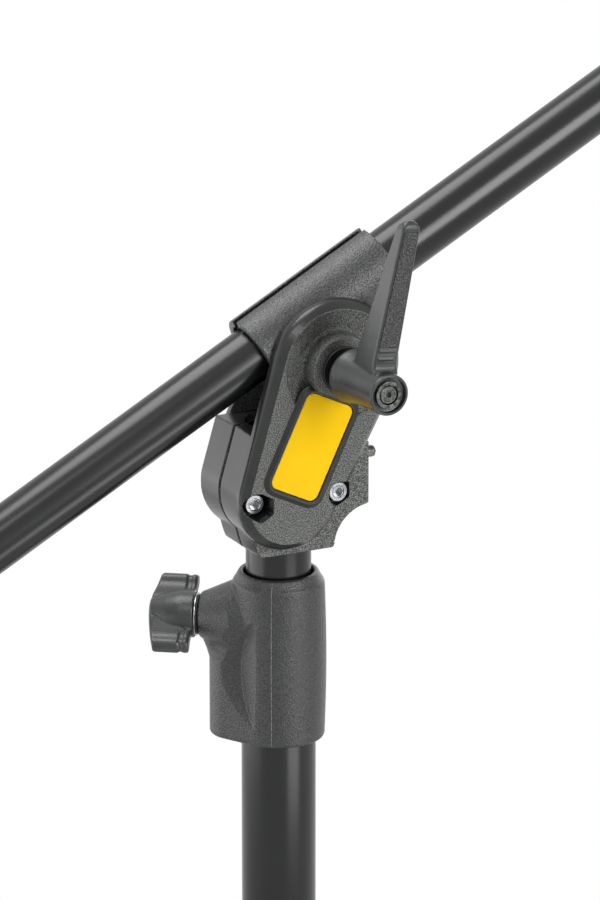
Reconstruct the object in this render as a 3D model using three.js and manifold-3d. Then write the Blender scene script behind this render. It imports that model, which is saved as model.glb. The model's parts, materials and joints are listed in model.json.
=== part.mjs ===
// Overhead boom arm: a round boom in a split sleeve that tilts between the two halves of a cast head.
// A ratchet lever clamps the sleeve, and the head stands on a riser tube that slides and turns in a
// collar on top of the stand's column. Millimetres, +Z up, front is -Y. The origin is on the column's
// axis at its lower end.

import * as THREE from 'three';
import { mergeVertices } from 'three/addons/utils/BufferGeometryUtils.js';
import Module from 'manifold-3d';

// Shared clearances and counts
const gap = 0.3; // between pieces that touch
const slack = 0.45; // round a shaft that turns or slides
const overrun = 6; // how far a cut runs past what it cuts
const tubeSides = 32;
const roundSides = 20;
const smallSides = 12;
const cornerSteps = 3; // points on a rounded corner
const beltSteps = 14; // points on each round end of a belt
const coilSteps = 8; // points on each turn of a spring

// Column, riser and collar
const columnDiameter = 40;
const columnWall = 1.5;
const columnShow = 201.1; // from the column's foot to the collar
const columnInCollar = 44;
const riserDiameter = 35;
const riserWall = 1.5;
const riserLength = 284;
const riserShow = 15; // between the collar and the head
const riserInset = 3; // from the top of the head's block down to the riser's top
const footBushPlug = 12; // how far a foot bush reaches into its tube
const footBushFlange = 8;
const footBushBore = 10;
const collarLength = 93.4;
const collarRadius = 24.8;
const collarSwell = 0.9; // barrel shape of the side
const collarMouthRadius = 18.9;
const collarRim = 2.2;
const collarTaperWidth = 2.3;
const collarTaperDrop = 5;
const collarShoulder = 5;
const collarFootRound = 1.2;
const noseRadius = 15.5;
const noseReach = 37.4; // from the riser's axis to the tip of the nose
const noseFullDrop = 50; // from the collar's top to where the nose starts to rise to the boss
const noseTopReach = 26;
const noseTopDrop = 8;
const noseLipRadius = 11; // of the nose's tip where it meets the boss
const bossReach = 42.4;
const bossEndRadius = 12.3;
const bossRootRadius = 20.5;
const bossRootReach = 24;
const knobDrop = 27.6; // from the collar's top to the knob's axis
const knobTurn = 145; // degrees from +X round to the knob's axis
const scallopRadius = 41;
const scallopDepth = 3.2;
const scallopTurn = 44; // degrees from the knob's axis to the middle of a scallop
const scallopDrop = 57.6;
const scallopWidth = 11;

// Wing knob, stud and pad
const studRadius = 3.9;
const studInKnob = 14;
const insertRadius = 6.5;
const insertLength = 10;
const padRadius = 5.4;
const padLength = 4;
const padTravel = 3;
const knobGap = 2.5; // from the boss to the knob's hub
const washerRadius = 11.4;
const washerThickness = 1.6;
const hubRadius = 12.7;
const hubLength = 24.4;
const hubFlange = 7; // straight part of the hub
const hubCrownRadius = 7.6; // at the hub's outer end
const wingSpan = 24.6; // from the knob's axis to a wing's tip
const wingSetback = 1; // from the hub's foot to the wings' back edge
const wingBow = 4.1; // how far the outer edge falls back at the tips
const wingRoot = 9; // from the axis to where a wing starts to thin
const wingRootThickness = 13.4;
const wingNeck = 17;
const wingNeckThickness = 7;
const wingBead = 21.4; // the thick rounded edge
const wingBeadThickness = 8.6;
const wingTipThickness = 4;
const wingRound = 1.6;
const wingTurn = 54; // degrees about the knob's axis

// Head
const boomOffset = 20.8; // from the pivot to the boom's axis, and to the riser's axis
const splitGap = 1.5; // between the halves
const plateDepth = 20.6; // from the middle to the lower face
const cheekInner = 20.9;
const sideDepth = 25.5;
const faceDepth = 30; // from the middle to the upper face
const cheekRadius = 37.1;
const cheekAcross = 0.8; // from the pivot's axis on to the middle of the cheek's round top
const cheekDown = 1.7;
const heelRadius = 29.2; // round the lower end of the casting
const heelAcross = 27.3; // from the pivot's axis back to the heel's centre
const heelDown = 69.1;
const earBackRadius = 21; // round the pivot on the back half
const backInset = 3.5; // how far the back cheek lies inside the front one's outline
const blockDraft = 0.9; // how much narrower the block is between the halves
const blockDown = 34; // from the pivot to the top of the block
const neckDown = 102.7; // from the pivot to the foot of the neck
const neckHalfWidth = 23;
const neckCorner = 2.5;
const lobeReach = 43.4; // from the riser's axis to the lobe that holds the pin
const lobeTop = 45;
const lobeFoot = 78.5;
const lobeCorner = 3.5;
const dishRadius = 30.9;
const dishValleyRadius = 20;
const dishFloor = 24.6;
const hubBossRadius = 17.8;
const hubBossDepth = 36;
const hubBossDraft = 1.4;
const clampScrewAcross = 24.6;
const clampScrewDown = 71.7;
const clampScrewRadius = 3;
const clampHeadRadius = 5;
const clampHeadHeight = 6;
const clampHeadDepth = 21.8; // from the middle to the screw head's face
const clampSocket = 2.9;
const clampSocketDepth = 3;
const pocketFlats = 13.6; // across the flats of a screw's pocket
const nutFlats = 10;
const nutHeight = 5;

// Plate in its frame
const labelWidth = 29;
const labelLength = 55.7;
const labelCorner = 4.2;
const labelTilt = 25.5; // degrees from upright
const labelAcross = 3.7; // from the riser's axis to the plate's middle
const labelDown = 41.6;
const labelThickness = 0.5;
const frameRise = 1.8; // above the face
const frameBorder = 2;
const frameSlope = 1.8;
const frameRecess = 0.8;

// Index pin
const pinRadius = 3.2;
const pinDown = 59.3;
const pinReach = 57.8;
const pinNose = 16.4; // where the pin's inner end lies
const pinFlangeRadius = 4.6;
const pinFlange = 2;
const pinFlangeReach = 26;
const pinTravel = 6;
const pinChamberRadius = 5.2;
const pinChamberEnd = 37;
const pinSpringWire = 0.5;
const pinSpringTurns = 5;

// Pivot bolt, washers and ratchet nut
const boltRadius = 3.9;
const boltHeadFlats = 17;
const boltHeadHeight = 6.4;
const boltReach = 58; // from the middle to the bolt's front end
const frictionRadius = 10.5;
const frictionThickness = 1.4;
const earHalfWidth = 18.9;
const earRadius = 17.5;
const thrustRadius = 13;
const thrustThickness = 2;
const nutCollarRadius = 9.6;
const nutToothRadius = 8.9;
const toothDepth = 1.1;
const toothCount = 20;
const toothFront = 51.6;
const nutBossRadius = 6.4;
const nutFront = 66;
const leverTravel = 5.4;

// Clamping lever
const hubBack = 47; // from the middle to the back of the lever's hub
const hubFront = 87.5;
const hubBaseRadius = 15;
const hubNeckRadius = 11.6;
const hubEndRadius = 11.1;
const hubRecessRadius = 9.2;
const hubRecess = 2.6;
const springChamberRadius = 7.4;
const springSeat = 70;
const leverTurn = 5.7; // degrees clockwise from upright
const leverReach = 95; // from the pivot to the tip
const leverRoot = 4;
const rootWidth = 14.6;
const tipWidth = 10.4;
const rootBack = 55.5;
const rootFront = 78;
const tipBack = 88;
const tipFront = 95.5;
const leverCorner = 1.8;
const retainerRadius = 2.9;
const retainerHeadRadius = 5;
const retainerHeadHeight = 4.5;
const retainerSocket = 1.3;
const cupRadius = 6.9;
const cupThickness = 1.2;
const leverSpringRadius = 5.6;
const leverSpringWire = 0.6;
const leverSpringTurns = 4;

// Sleeve and liner round the boom
const boomTilt = 28.9; // degrees above level
const sleeveRadius = 20.5;
const sleeveWall = 3.7;
const sleeveTail = 29.2; // from the pivot's foot towards the boom's tail
const sleeveHead = 56.8;
const sleeveGap = 2.8;
const linerWall = 1.2;
const linerInset = 2.4;

// Boom and its extension
const boomDiameter = 30;
const boomWall = 1.5;
const boomTail = 320; // from the pivot's foot to the tail
const boomHead = 600;
const boomCollarOnTube = 34;
const boomCollarScale = 0.74; // the boom's collar is this share of the column's
const tailPlugLength = 26;
const tailPlugFlange = 5;
const weightEyeRadius = 13; // from the eye's middle to the middle of its wire
const weightEyeWire = 3.6;
const weightEyeShank = 4.2;
const weightEyeSeat = 7.5;
const extensionDiameter = 25;
const extensionWall = 1.2;
const extensionLength = 540;
const extensionShow = 46; // past the boom's collar
const endPlugLength = 20;
const endPlugFlange = 6;
const spigotRadius = 8;
const spigotLength = 38;
const spigotGrooveRadius = 6.5;
const spigotGroove = 7;
const spigotCollarRadius = 11;
const spigotBore = 4.2;

// Places worked out from these sizes
const collarTop = columnShow + collarLength;
const pivotHeight = collarTop + riserShow + neckDown;
const knobHeight = collarTop - knobDrop;
const blockTop = pivotHeight - blockDown;
const riserTop = blockTop - riserInset;
const riserFoot = riserTop - riserLength;
const riserRadius = riserDiameter / 2;
const columnRadius = columnDiameter / 2;
const boomRadius = boomDiameter / 2;
const extensionRadius = extensionDiameter / 2;
const faceUp = faceDepth + frameRise;
const labelFace = faceUp - frameRecess;
const labelBack = labelFace - labelThickness - gap;

// Materials
const finish = (color, roughness, metalness) => new THREE.MeshStandardMaterial({ color, roughness, metalness });
const castGrey = finish(0x4a4c49, 0.6, 0.2);
const mouldedGrey = finish(0x454745, 0.62, 0);
const tubeBlack = finish(0x232524, 0.3, 0.5);
const sleeveGrey = finish(0x565856, 0.5, 0.3);
const yellowPlate = finish(0xf8d214, 0.45, 0);
const zinc = finish(0xc9ccce, 0.28, 1);
const darkSteel = finish(0x55575a, 0.4, 1);
const blackNylon = finish(0x161716, 0.55, 0);
const brass = finish(0xb08d4a, 0.35, 1);

const wasm = await Module();
wasm.setup();

const radians = THREE.MathUtils.degToRad;

// Turns a closed geometry into a solid, with its faces pointing out.
function solid(geometry) {
  const bare = geometry.index ? geometry.toNonIndexed() : geometry.clone();
  bare.deleteAttribute('normal');
  bare.deleteAttribute('uv');
  const merged = mergeVertices(bare, 1e-4);
  const index = merged.index.array;
  const corner = (i) => new THREE.Vector3().fromBufferAttribute(merged.attributes.position, index[i]);
  const faces = [];
  let volume = 0;
  for (let i = 0; i < index.length; i += 3) {
    const face = [index[i], index[i + 1], index[i + 2]];
    if (new Set(face).size < 3) continue;
    faces.push(face);
    volume += corner(i).dot(corner(i + 1).cross(corner(i + 2)));
  }
  if (volume < 0) faces.forEach((face) => face.reverse());
  return new wasm.Manifold(new wasm.Mesh({
    numProp: 3,
    vertProperties: merged.attributes.position.array,
    triVerts: new Uint32Array(faces.flat()),
  }));
}

// Names a solid as a piece of the object.
function piece(name, shape, material) {
  const made = shape.getMesh();
  const geometry = new THREE.BufferGeometry();
  geometry.setAttribute('position', new THREE.BufferAttribute(made.vertProperties, 3));
  geometry.setIndex(new THREE.BufferAttribute(made.triVerts, 1));
  geometry.computeVertexNormals();
  const mesh = new THREE.Mesh(geometry, material);
  mesh.name = name;
  return mesh;
}

// Turns a profile of [radius, height] points about +Z. A profile off the axis is closed into a ring.
function turnedGeometry(points, sides) {
  const onAxis = points[0][0] === 0;
  const profile = onAxis ? points : [...points, points[0]];
  const geometry = new THREE.LatheGeometry(profile.map(([r, z]) => new THREE.Vector2(r, z)), sides);
  return geometry.rotateX(Math.PI / 2);
}
const turned = (points, sides = roundSides) => solid(turnedGeometry(points, sides));

const disc = (radius, low, high) => [[0, low], [radius, low], [radius, high], [0, high]];
const ring = (inner, outer, low, high) => [[inner, low], [outer, low], [outer, high], [inner, high]];

// The same, about the line of sight: heights run from the middle towards the front, or the back.
function turnedForward(points, sides = roundSides) {
  return solid(turnedGeometry(points, sides).rotateX(Math.PI / 2));
}
// The same, along +X.
function turnedAlong(points, sides = roundSides) {
  return solid(turnedGeometry(points, sides).rotateY(Math.PI / 2));
}

// An outline in X and Z, made solid from one depth to another towards the front.
function slab(outline, from, to, bevel = 0) {
  const geometry = new THREE.ExtrudeGeometry(outline, {
    depth: to - from - 2 * bevel,
    curveSegments: roundSides / 2,
    bevelEnabled: bevel > 0,
    bevelThickness: bevel,
    bevelSize: bevel,
    bevelOffset: -bevel,
    bevelSegments: 1,
  });
  return solid(geometry.translate(0, 0, from + bevel).rotateX(Math.PI / 2));
}

function box(low, high) {
  const size = high.map((value, i) => value - low[i]);
  const middle = high.map((value, i) => (value + low[i]) / 2);
  return solid(new THREE.BoxGeometry(...size).translate(...middle));
}

// Skins a stack of rings with equal numbers of points, and closes both ends.
function loft(rings) {
  const count = rings[0].length;
  const points = rings.flat();
  const faces = [];
  for (let level = 0; level + 1 < rings.length; level += 1) {
    for (let i = 0; i < count; i += 1) {
      const a = level * count + i;
      const b = level * count + ((i + 1) % count);
      faces.push(a, b, a + count, b, b + count, a + count);
    }
  }
  for (let i = 1; i + 1 < count; i += 1) {
    const last = (rings.length - 1) * count;
    faces.push(0, i + 1, i, last, last + i, last + i + 1);
  }
  const geometry = new THREE.BufferGeometry().setFromPoints(points);
  geometry.setIndex(faces);
  return solid(geometry);
}

// Points round two circles and the straight sides that touch both: [across, up, radius] each.
function beltPoints([x1, y1, r1], [x2, y2, r2], steps) {
  const away = Math.atan2(y2 - y1, x2 - x1);
  const lean = Math.acos((r1 - r2) / Math.hypot(x2 - x1, y2 - y1));
  const arc = (x, y, r, start, end) => Array.from({ length: steps + 1 }, (_, i) => {
    const angle = start + ((end - start) * i) / steps;
    return new THREE.Vector2(x + r * Math.cos(angle), y + r * Math.sin(angle));
  });
  return [
    ...arc(x1, y1, r1, away + lean, away - lean + 2 * Math.PI),
    ...arc(x2, y2, r2, away - lean, away + lean),
  ];
}

// A rectangle with rounded corners about the origin.
function roundedPoints(width, height, corner) {
  const points = [];
  [[1, 1], [-1, 1], [-1, -1], [1, -1]].forEach(([sideX, sideY], quarter) => {
    for (let i = 0; i <= cornerSteps; i += 1) {
      const angle = (quarter + i / cornerSteps) * Math.PI / 2;
      points.push(new THREE.Vector2(
        sideX * (width / 2 - corner) + corner * Math.cos(angle),
        sideY * (height / 2 - corner) + corner * Math.sin(angle),
      ));
    }
  });
  return points;
}

const hexagon = (flats) => Array.from({ length: 6 }, (_, i) => {
  const angle = (i * Math.PI) / 3;
  const radius = flats / Math.sqrt(3);
  return new THREE.Vector2(radius * Math.cos(angle), radius * Math.sin(angle));
});

// A wire wound about +Z.
function coil(radius, wire, turns, low, high) {
  class Helix extends THREE.Curve {
    getPoint(t, target = new THREE.Vector3()) {
      const angle = 2 * Math.PI * turns * t;
      return target.set(radius * Math.cos(angle), radius * Math.sin(angle), low + (high - low) * t);
    }
  }
  const section = new THREE.Shape(Array.from({ length: 5 }, (_, i) => {
    const angle = (2 * Math.PI * i) / 5;
    return new THREE.Vector2(wire * Math.cos(angle), wire * Math.sin(angle));
  }));
  return new THREE.ExtrudeGeometry(section, { steps: turns * coilSteps, extrudePath: new Helix() });
}

// Moulded collar about +Z with its knob along +X. It grips an inner tube above an outer one.
function clampCollar(share, outerTube, innerTube, onTube) {
  const size = (value) => value * share;
  const top = size(collarLength);
  const radius = outerTube + size(collarRadius - columnRadius);
  const mouth = innerTube + size(collarMouthRadius - riserRadius);
  const drop = (value) => top - size(value);
  const barrel = turned([
    [0, 0],
    [radius - size(collarFootRound), 0],
    [radius, size(collarFootRound)],
    [radius + size(collarSwell), top / 2],
    [radius, drop(collarTaperDrop + collarShoulder)],
    [mouth + size(collarRim + collarTaperWidth), drop(collarTaperDrop)],
    [mouth + size(collarRim), top],
    [0, top],
  ], tubeSides);
  // The nose swells from under the knob down to the foot.
  const nose = (height, reach, tipRadius, shrink) => {
    const tip = [size(reach - tipRadius), 0, size(tipRadius) - shrink];
    return beltPoints([0, 0, radius - shrink], tip, beltSteps / 2)
      .map((p) => new THREE.Vector3(p.x, p.y, height));
  };
  const bossFoot = knobDrop + bossEndRadius;
  const swell = loft([
    nose(0, noseReach - collarFootRound, noseRadius, size(collarFootRound)),
    nose(size(collarFootRound), noseReach, noseRadius, 0),
    nose(drop(noseFullDrop), noseReach, noseRadius, 0),
    nose(drop((noseFullDrop + bossFoot) / 2), (2 * noseReach + bossReach) / 3, (noseRadius + noseLipRadius) / 2, 0),
    nose(drop(bossFoot), bossReach - collarFootRound, noseLipRadius, 0),
    nose(drop(knobDrop), bossReach - collarFootRound, noseLipRadius, collarSwell),
    nose(drop(noseTopDrop), noseTopReach, noseRadius, collarSwell),
  ]);
  const boss = turnedAlong([
    [0, size(bossRootReach) / 2],
    [size(bossRootRadius), size(bossRootReach) / 2],
    [size(bossRootRadius), size(bossRootReach)],
    [size(bossEndRadius), size(bossReach - collarFootRound)],
    [size(bossEndRadius - collarFootRound), size(bossReach)],
    [0, size(bossReach)],
  ]).translate(0, 0, drop(knobDrop));
  let body = barrel.add(swell).add(boss);
  // Finger scallops either side of the nose
  [-1, 1].forEach((side) => {
    const out = radius + size(collarSwell) + size(scallopRadius - scallopDepth);
    const angle = radians(scallopTurn);
    const ball = new THREE.SphereGeometry(size(scallopRadius), smallSides, smallSides);
    ball.scale(1, size(scallopWidth) / size(scallopRadius), 1);
    ball.translate(out, 0, drop(scallopDrop)).rotateZ(side * angle);
    body = body.subtract(solid(ball));
  });
  const tubeTop = onTube + gap;
  const bushTop = guideBushTop(share);
  return body
    .subtract(turned(disc(outerTube + gap, -overrun, tubeTop), tubeSides))
    .subtract(turned(disc(outerTube - gap, tubeTop - gap, bushTop), tubeSides))
    .subtract(turned(disc(mouth, bushTop - gap, top + overrun), tubeSides))
    .subtract(turnedAlong([
      [0, 0],
      [size(padRadius) + gap, 0],
      [size(padRadius) + gap, innerTube + size(padLength + padTravel)],
      [size(studRadius) + slack, innerTube + size(padLength + padTravel)],
      [size(studRadius) + slack, size(bossReach - insertLength) - gap],
      [size(insertRadius) + gap, size(bossReach - insertLength) - gap],
      [size(insertRadius) + gap, size(bossReach) + overrun],
      [0, size(bossReach) + overrun],
    ], smallSides).translate(0, 0, drop(knobDrop)));
}

// The ring that guides the inner tube, between the outer tube's end and the knob
const guideBushTop = (share) => (collarLength - knobDrop - bossEndRadius) * share;
function guideBush(share, outerTube, innerTube, onTube) {
  return turned(ring(innerTube + gap, outerTube - 2 * gap, onTube + 2 * gap, guideBushTop(share) - gap), tubeSides);
}

// The bush at the foot of an inner tube: a plug in the tube and a flange that runs in the outer tube
function footBush(tubeBore, outerBore) {
  return turned([
    [footBushBore, -gap - footBushFlange],
    [outerBore - gap, -gap - footBushFlange],
    [outerBore - gap, -gap],
    [tubeBore - gap, -gap],
    [tubeBore - gap, footBushPlug],
    [footBushBore, footBushPlug],
  ], tubeSides);
}

// The pieces of a wing knob along +X, for a collar of the same share, pressing on a tube.
function wingKnob(prefix, share, tube) {
  const size = (value) => value * share;
  const reach = size(bossReach);
  const hubFoot = reach + size(knobGap);
  const hubTop = hubFoot + size(hubLength);
  const round = size(wingRound);
  const padTop = tube + gap + size(padLength);
  const stud = size(studRadius);
  const dome = Array.from({ length: cornerSteps + 2 }, (_, i) => {
    const share = i / (cornerSteps + 1);
    const radius = hubRadius - (hubRadius - hubCrownRadius) * share ** 1.3;
    return [size(radius), hubFoot + size(hubFlange + (hubLength - hubFlange) * share) - round * share];
  });
  const hub = turnedAlong([
    [0, hubFoot],
    [size(hubRadius), hubFoot],
    ...dome,
    [size(hubCrownRadius) - round, hubTop],
    [0, hubTop],
  ]);
  const wingSection = (across, thickness) => {
    const back = hubFoot + size(wingSetback);
    const front = hubTop - size(wingBow) * (across / wingSpan) ** 2;
    return roundedPoints(front - back, size(thickness), round)
      .map((p) => new THREE.Vector3((front + back) / 2 + p.x, p.y, size(across)));
  };
  const wing = [
    [wingRoot, wingRootThickness],
    [(wingRoot + wingNeck) / 2, (wingRootThickness + 3 * wingNeckThickness) / 4],
    [wingNeck, wingNeckThickness],
    [wingBead, wingBeadThickness],
    [(wingBead + 3 * wingSpan) / 4, (wingBeadThickness + wingTipThickness) / 2],
    [wingSpan, wingTipThickness],
  ];
  const wings = loft([
    ...wing.map(([across, thickness]) => wingSection(-across, thickness)).reverse(),
    ...wing.map(([across, thickness]) => wingSection(across, thickness)),
  ]);
  const studEnd = hubFoot + size(studInKnob);
  const socket = turnedAlong(disc(stud + gap, hubFoot - overrun, studEnd + gap), smallSides);
  const turn = new THREE.Group();
  turn.rotation.x = radians(wingTurn);
  turn.add(piece(prefix, hub.add(wings).subtract(socket), mouldedGrey));
  const group = new THREE.Group();
  group.add(
    turn,
    piece(`${prefix}_stud`, turnedAlong(disc(stud, padTop + gap, studEnd), smallSides), zinc),
    piece(`${prefix}_washer`, turnedAlong(ring(stud + gap, size(washerRadius), reach + gap,
      reach + gap + size(washerThickness))), zinc),
    piece(`${prefix}_insert`, turnedAlong(ring(stud + gap, size(insertRadius), reach - size(insertLength),
      reach), smallSides), brass),
    piece(`${prefix}_pad`, turnedAlong(disc(size(padRadius), tube + gap, padTop), smallSides), blackNylon),
  );
  return group;
}

// Places drawn in the head are across from the riser's axis and up from the pivot.
const forwardAt = (shape, across, up) => shape.translate(across, 0, up);

// One half of the head, drawn towards the front. The back half is mirrored, and is smaller round the pivot.
function headHalf(isFront) {
  const heel = [boomOffset - heelAcross, -heelDown, heelRadius];
  const outline = (inset) => beltPoints(
    [boomOffset + cheekAcross, -cheekDown, cheekRadius - inset],
    [heel[0], heel[1], heelRadius - inset],
    beltSteps,
  );
  const backOutline = beltPoints(
    [boomOffset, 0, earBackRadius],
    [heel[0], heel[1], heelRadius - backInset],
    beltSteps,
  );
  const chamfer = faceDepth - sideDepth;
  const cheekShape = new THREE.Shape(isFront ? outline(0) : backOutline);
  const cheek = slab(cheekShape, cheekInner - 2 * chamfer, faceDepth, chamfer)
    .subtract(box([-lobeReach * 2, -cheekInner, -2 * neckDown], [lobeReach * 2, 0, 2 * neckDown]));
  const blockRing = (inset, depth) => outline(inset).map((p) => new THREE.Vector3(p.x, -depth, p.y));
  const block = loft([blockRing(blockDraft, splitGap / 2), blockRing(0, cheekInner)])
    .subtract(box([-lobeReach * 2, -faceDepth, -blockDown], [lobeReach * 2, overrun, neckDown]));

  // The lower face: a lobe for the pin on the right, and the neck round the riser
  const lower = new THREE.Shape();
  lower.moveTo(0, -heelDown);
  lower.lineTo(heel[0], -lobeFoot);
  lower.lineTo(-neckHalfWidth - neckCorner, -neckDown + 6 * neckCorner);
  lower.lineTo(-neckHalfWidth, -neckDown + 2 * neckCorner);
  lower.lineTo(-neckHalfWidth + neckCorner, -neckDown);
  lower.lineTo(neckHalfWidth - neckCorner, -neckDown);
  lower.quadraticCurveTo(neckHalfWidth, -neckDown, neckHalfWidth, -neckDown + neckCorner);
  lower.quadraticCurveTo(neckHalfWidth + neckCorner, -lobeFoot - 2 * lobeCorner,
    lobeReach - 2 * lobeCorner, -lobeFoot - lobeCorner);
  lower.quadraticCurveTo(lobeReach, -lobeFoot - lobeCorner, lobeReach, -lobeFoot);
  lower.lineTo(lobeReach, -lobeTop);
  lower.lineTo(boomOffset, -lobeTop);
  const plate = slab(lower, splitGap / 2, plateDepth);

  // Dish round the pivot with the boss that the lever bears on
  const dish = turnedForward([
    [0, dishFloor],
    [dishValleyRadius, dishFloor],
    [dishRadius, faceDepth],
    [dishRadius, faceDepth + overrun],
    [0, faceDepth + overrun],
  ], tubeSides);
  const boss = turnedForward([
    [0, cheekInner + gap],
    [hubBossRadius + hubBossDraft, cheekInner + gap],
    [hubBossRadius, hubBossDepth - hubBossDraft],
    [hubBossRadius - hubBossDraft, hubBossDepth],
    [0, hubBossDepth],
  ], tubeSides);

  let half = cheek.add(block).add(plate)
    .subtract(forwardAt(dish, boomOffset, 0))
    .add(forwardAt(boss, boomOffset, 0));

  if (isFront) {
    const tilt = (points) => points.map((p) => {
      const turnedPoint = p.clone().rotateAround(new THREE.Vector2(), -radians(labelTilt));
      return new THREE.Vector2(turnedPoint.x + labelAcross, turnedPoint.y - labelDown);
    });
    const border = 2 * (frameBorder + frameSlope);
    const frame = slab(new THREE.Shape(tilt(roundedPoints(labelWidth + border, labelLength + border,
      labelCorner + border / 2))), dishFloor - frameSlope, faceUp, frameSlope);
    const recess = slab(new THREE.Shape(tilt(roundedPoints(labelWidth + 2 * gap, labelLength + 2 * gap,
      labelCorner + gap))), labelBack - gap, hubBossDepth + overrun);
    half = half.add(frame).subtract(recess);
  }

  // Clamp screws, in a wide pocket at the front and with a fitting nut at the back
  [-1, 1].forEach((side) => {
    const flats = isFront ? pocketFlats : nutFlats + 2 * gap;
    const floor = isFront ? clampHeadDepth - clampHeadHeight : plateDepth - nutHeight - gap;
    const pocket = slab(new THREE.Shape(hexagon(flats)), floor, faceUp + overrun);
    const hole = turnedForward(disc(clampScrewRadius + gap, -overrun, faceUp), smallSides);
    half = half.subtract(forwardAt(pocket.add(hole), side * clampScrewAcross, -clampScrewDown));
  });

  // Pivot bolt, with its head held from turning at the back
  const boltHole = turnedForward(disc(boltRadius + gap, 0, hubBossDepth + overrun), smallSides);
  half = half.subtract(forwardAt(boltHole, boomOffset, 0));
  if (!isFront) {
    const headPocket = slab(new THREE.Shape(hexagon(boltHeadFlats + 2 * gap)),
      hubBossDepth - boltHeadHeight - gap, hubBossDepth + overrun);
    half = half.subtract(forwardAt(headPocket, boomOffset, 0));
  }

  // Bores for the riser and the index pin
  const riserBore = turned(disc(riserRadius + gap, -neckDown - overrun, overrun - blockDown), tubeSides);
  const pinBore = turnedAlong(disc(pinRadius + gap, 0, lobeReach + overrun), smallSides);
  const pinChamber = turnedAlong(disc(pinChamberRadius, riserRadius, pinChamberEnd), smallSides);
  half = half.subtract(riserBore).subtract(pinBore.add(pinChamber).translate(0, 0, -pinDown));
  return isFront ? half : half.mirror([0, 1, 0]);
}

function head() {
  const group = new THREE.Group();
  group.position.z = pivotHeight;
  group.add(piece('bracket_front', headHalf(true), castGrey), piece('bracket_back', headHalf(false), castGrey));

  [['left', -1], ['right', 1]].forEach(([name, side]) => {
    const seat = clampHeadDepth - clampHeadHeight + gap;
    const screw = turnedForward([
      [0, -plateDepth],
      [clampScrewRadius, -plateDepth],
      [clampScrewRadius, seat],
      [clampHeadRadius, seat],
      [clampHeadRadius, clampHeadDepth - gap],
      [clampHeadRadius - gap, clampHeadDepth],
      [0, clampHeadDepth],
    ], roundSides / 2).subtract(slab(new THREE.Shape(hexagon(2 * clampSocket)),
      clampHeadDepth - clampSocketDepth, clampHeadDepth + overrun));
    const nut = slab(new THREE.Shape(hexagon(nutFlats)), -plateDepth, -plateDepth + nutHeight)
      .subtract(turnedForward(disc(clampScrewRadius + gap, -plateDepth - overrun, 0), smallSides));
    group.add(
      piece(`clamp_screw_${name}`, forwardAt(screw, side * clampScrewAcross, -clampScrewDown), zinc),
      piece(`clamp_nut_${name}`, forwardAt(nut, side * clampScrewAcross, -clampScrewDown), zinc),
    );
  });

  const label = slab(new THREE.Shape(roundedPoints(labelWidth, labelLength, labelCorner)),
    labelFace - labelThickness, labelFace);
  const labelMesh = piece('label_plate', label, yellowPlate);
  labelMesh.position.set(labelAcross, 0, -labelDown);
  labelMesh.rotation.y = radians(labelTilt);
  group.add(labelMesh);

  const bolt = turnedForward([
    [0, -hubBossDepth],
    [boltRadius, -hubBossDepth],
    [boltRadius, boltReach],
    [0, boltReach],
  ], smallSides).add(slab(new THREE.Shape(hexagon(boltHeadFlats)), -hubBossDepth, -hubBossDepth + boltHeadHeight));
  group.add(piece('pivot_bolt', forwardAt(bolt, boomOffset, 0), darkSteel));

  // Index pin, pushed towards the riser by its spring
  const pin = turnedAlong([
    [0, pinNose],
    [pinRadius - gap, pinNose],
    [pinRadius, pinNose + gap],
    [pinRadius, pinFlangeReach],
    [pinFlangeRadius, pinFlangeReach],
    [pinFlangeRadius, pinFlangeReach + pinFlange],
    [pinRadius, pinFlangeReach + pinFlange],
    [pinRadius, pinReach - pinRadius],
    [pinRadius * Math.cos(Math.PI / 4), pinReach - pinRadius * (1 - Math.sin(Math.PI / 4))],
    [0, pinReach],
  ], smallSides);
  const springGeometry = coil(pinRadius + gap + pinSpringWire, pinSpringWire, pinSpringTurns,
    pinFlangeReach + pinFlange + gap + pinSpringWire, pinChamberEnd - gap - pinSpringWire);
  group.add(
    piece('index_pin', pin.translate(0, 0, -pinDown), darkSteel),
    piece('index_pin_spring', solid(springGeometry.rotateY(Math.PI / 2)).translate(0, 0, -pinDown), zinc),
  );
  return group;
}

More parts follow.
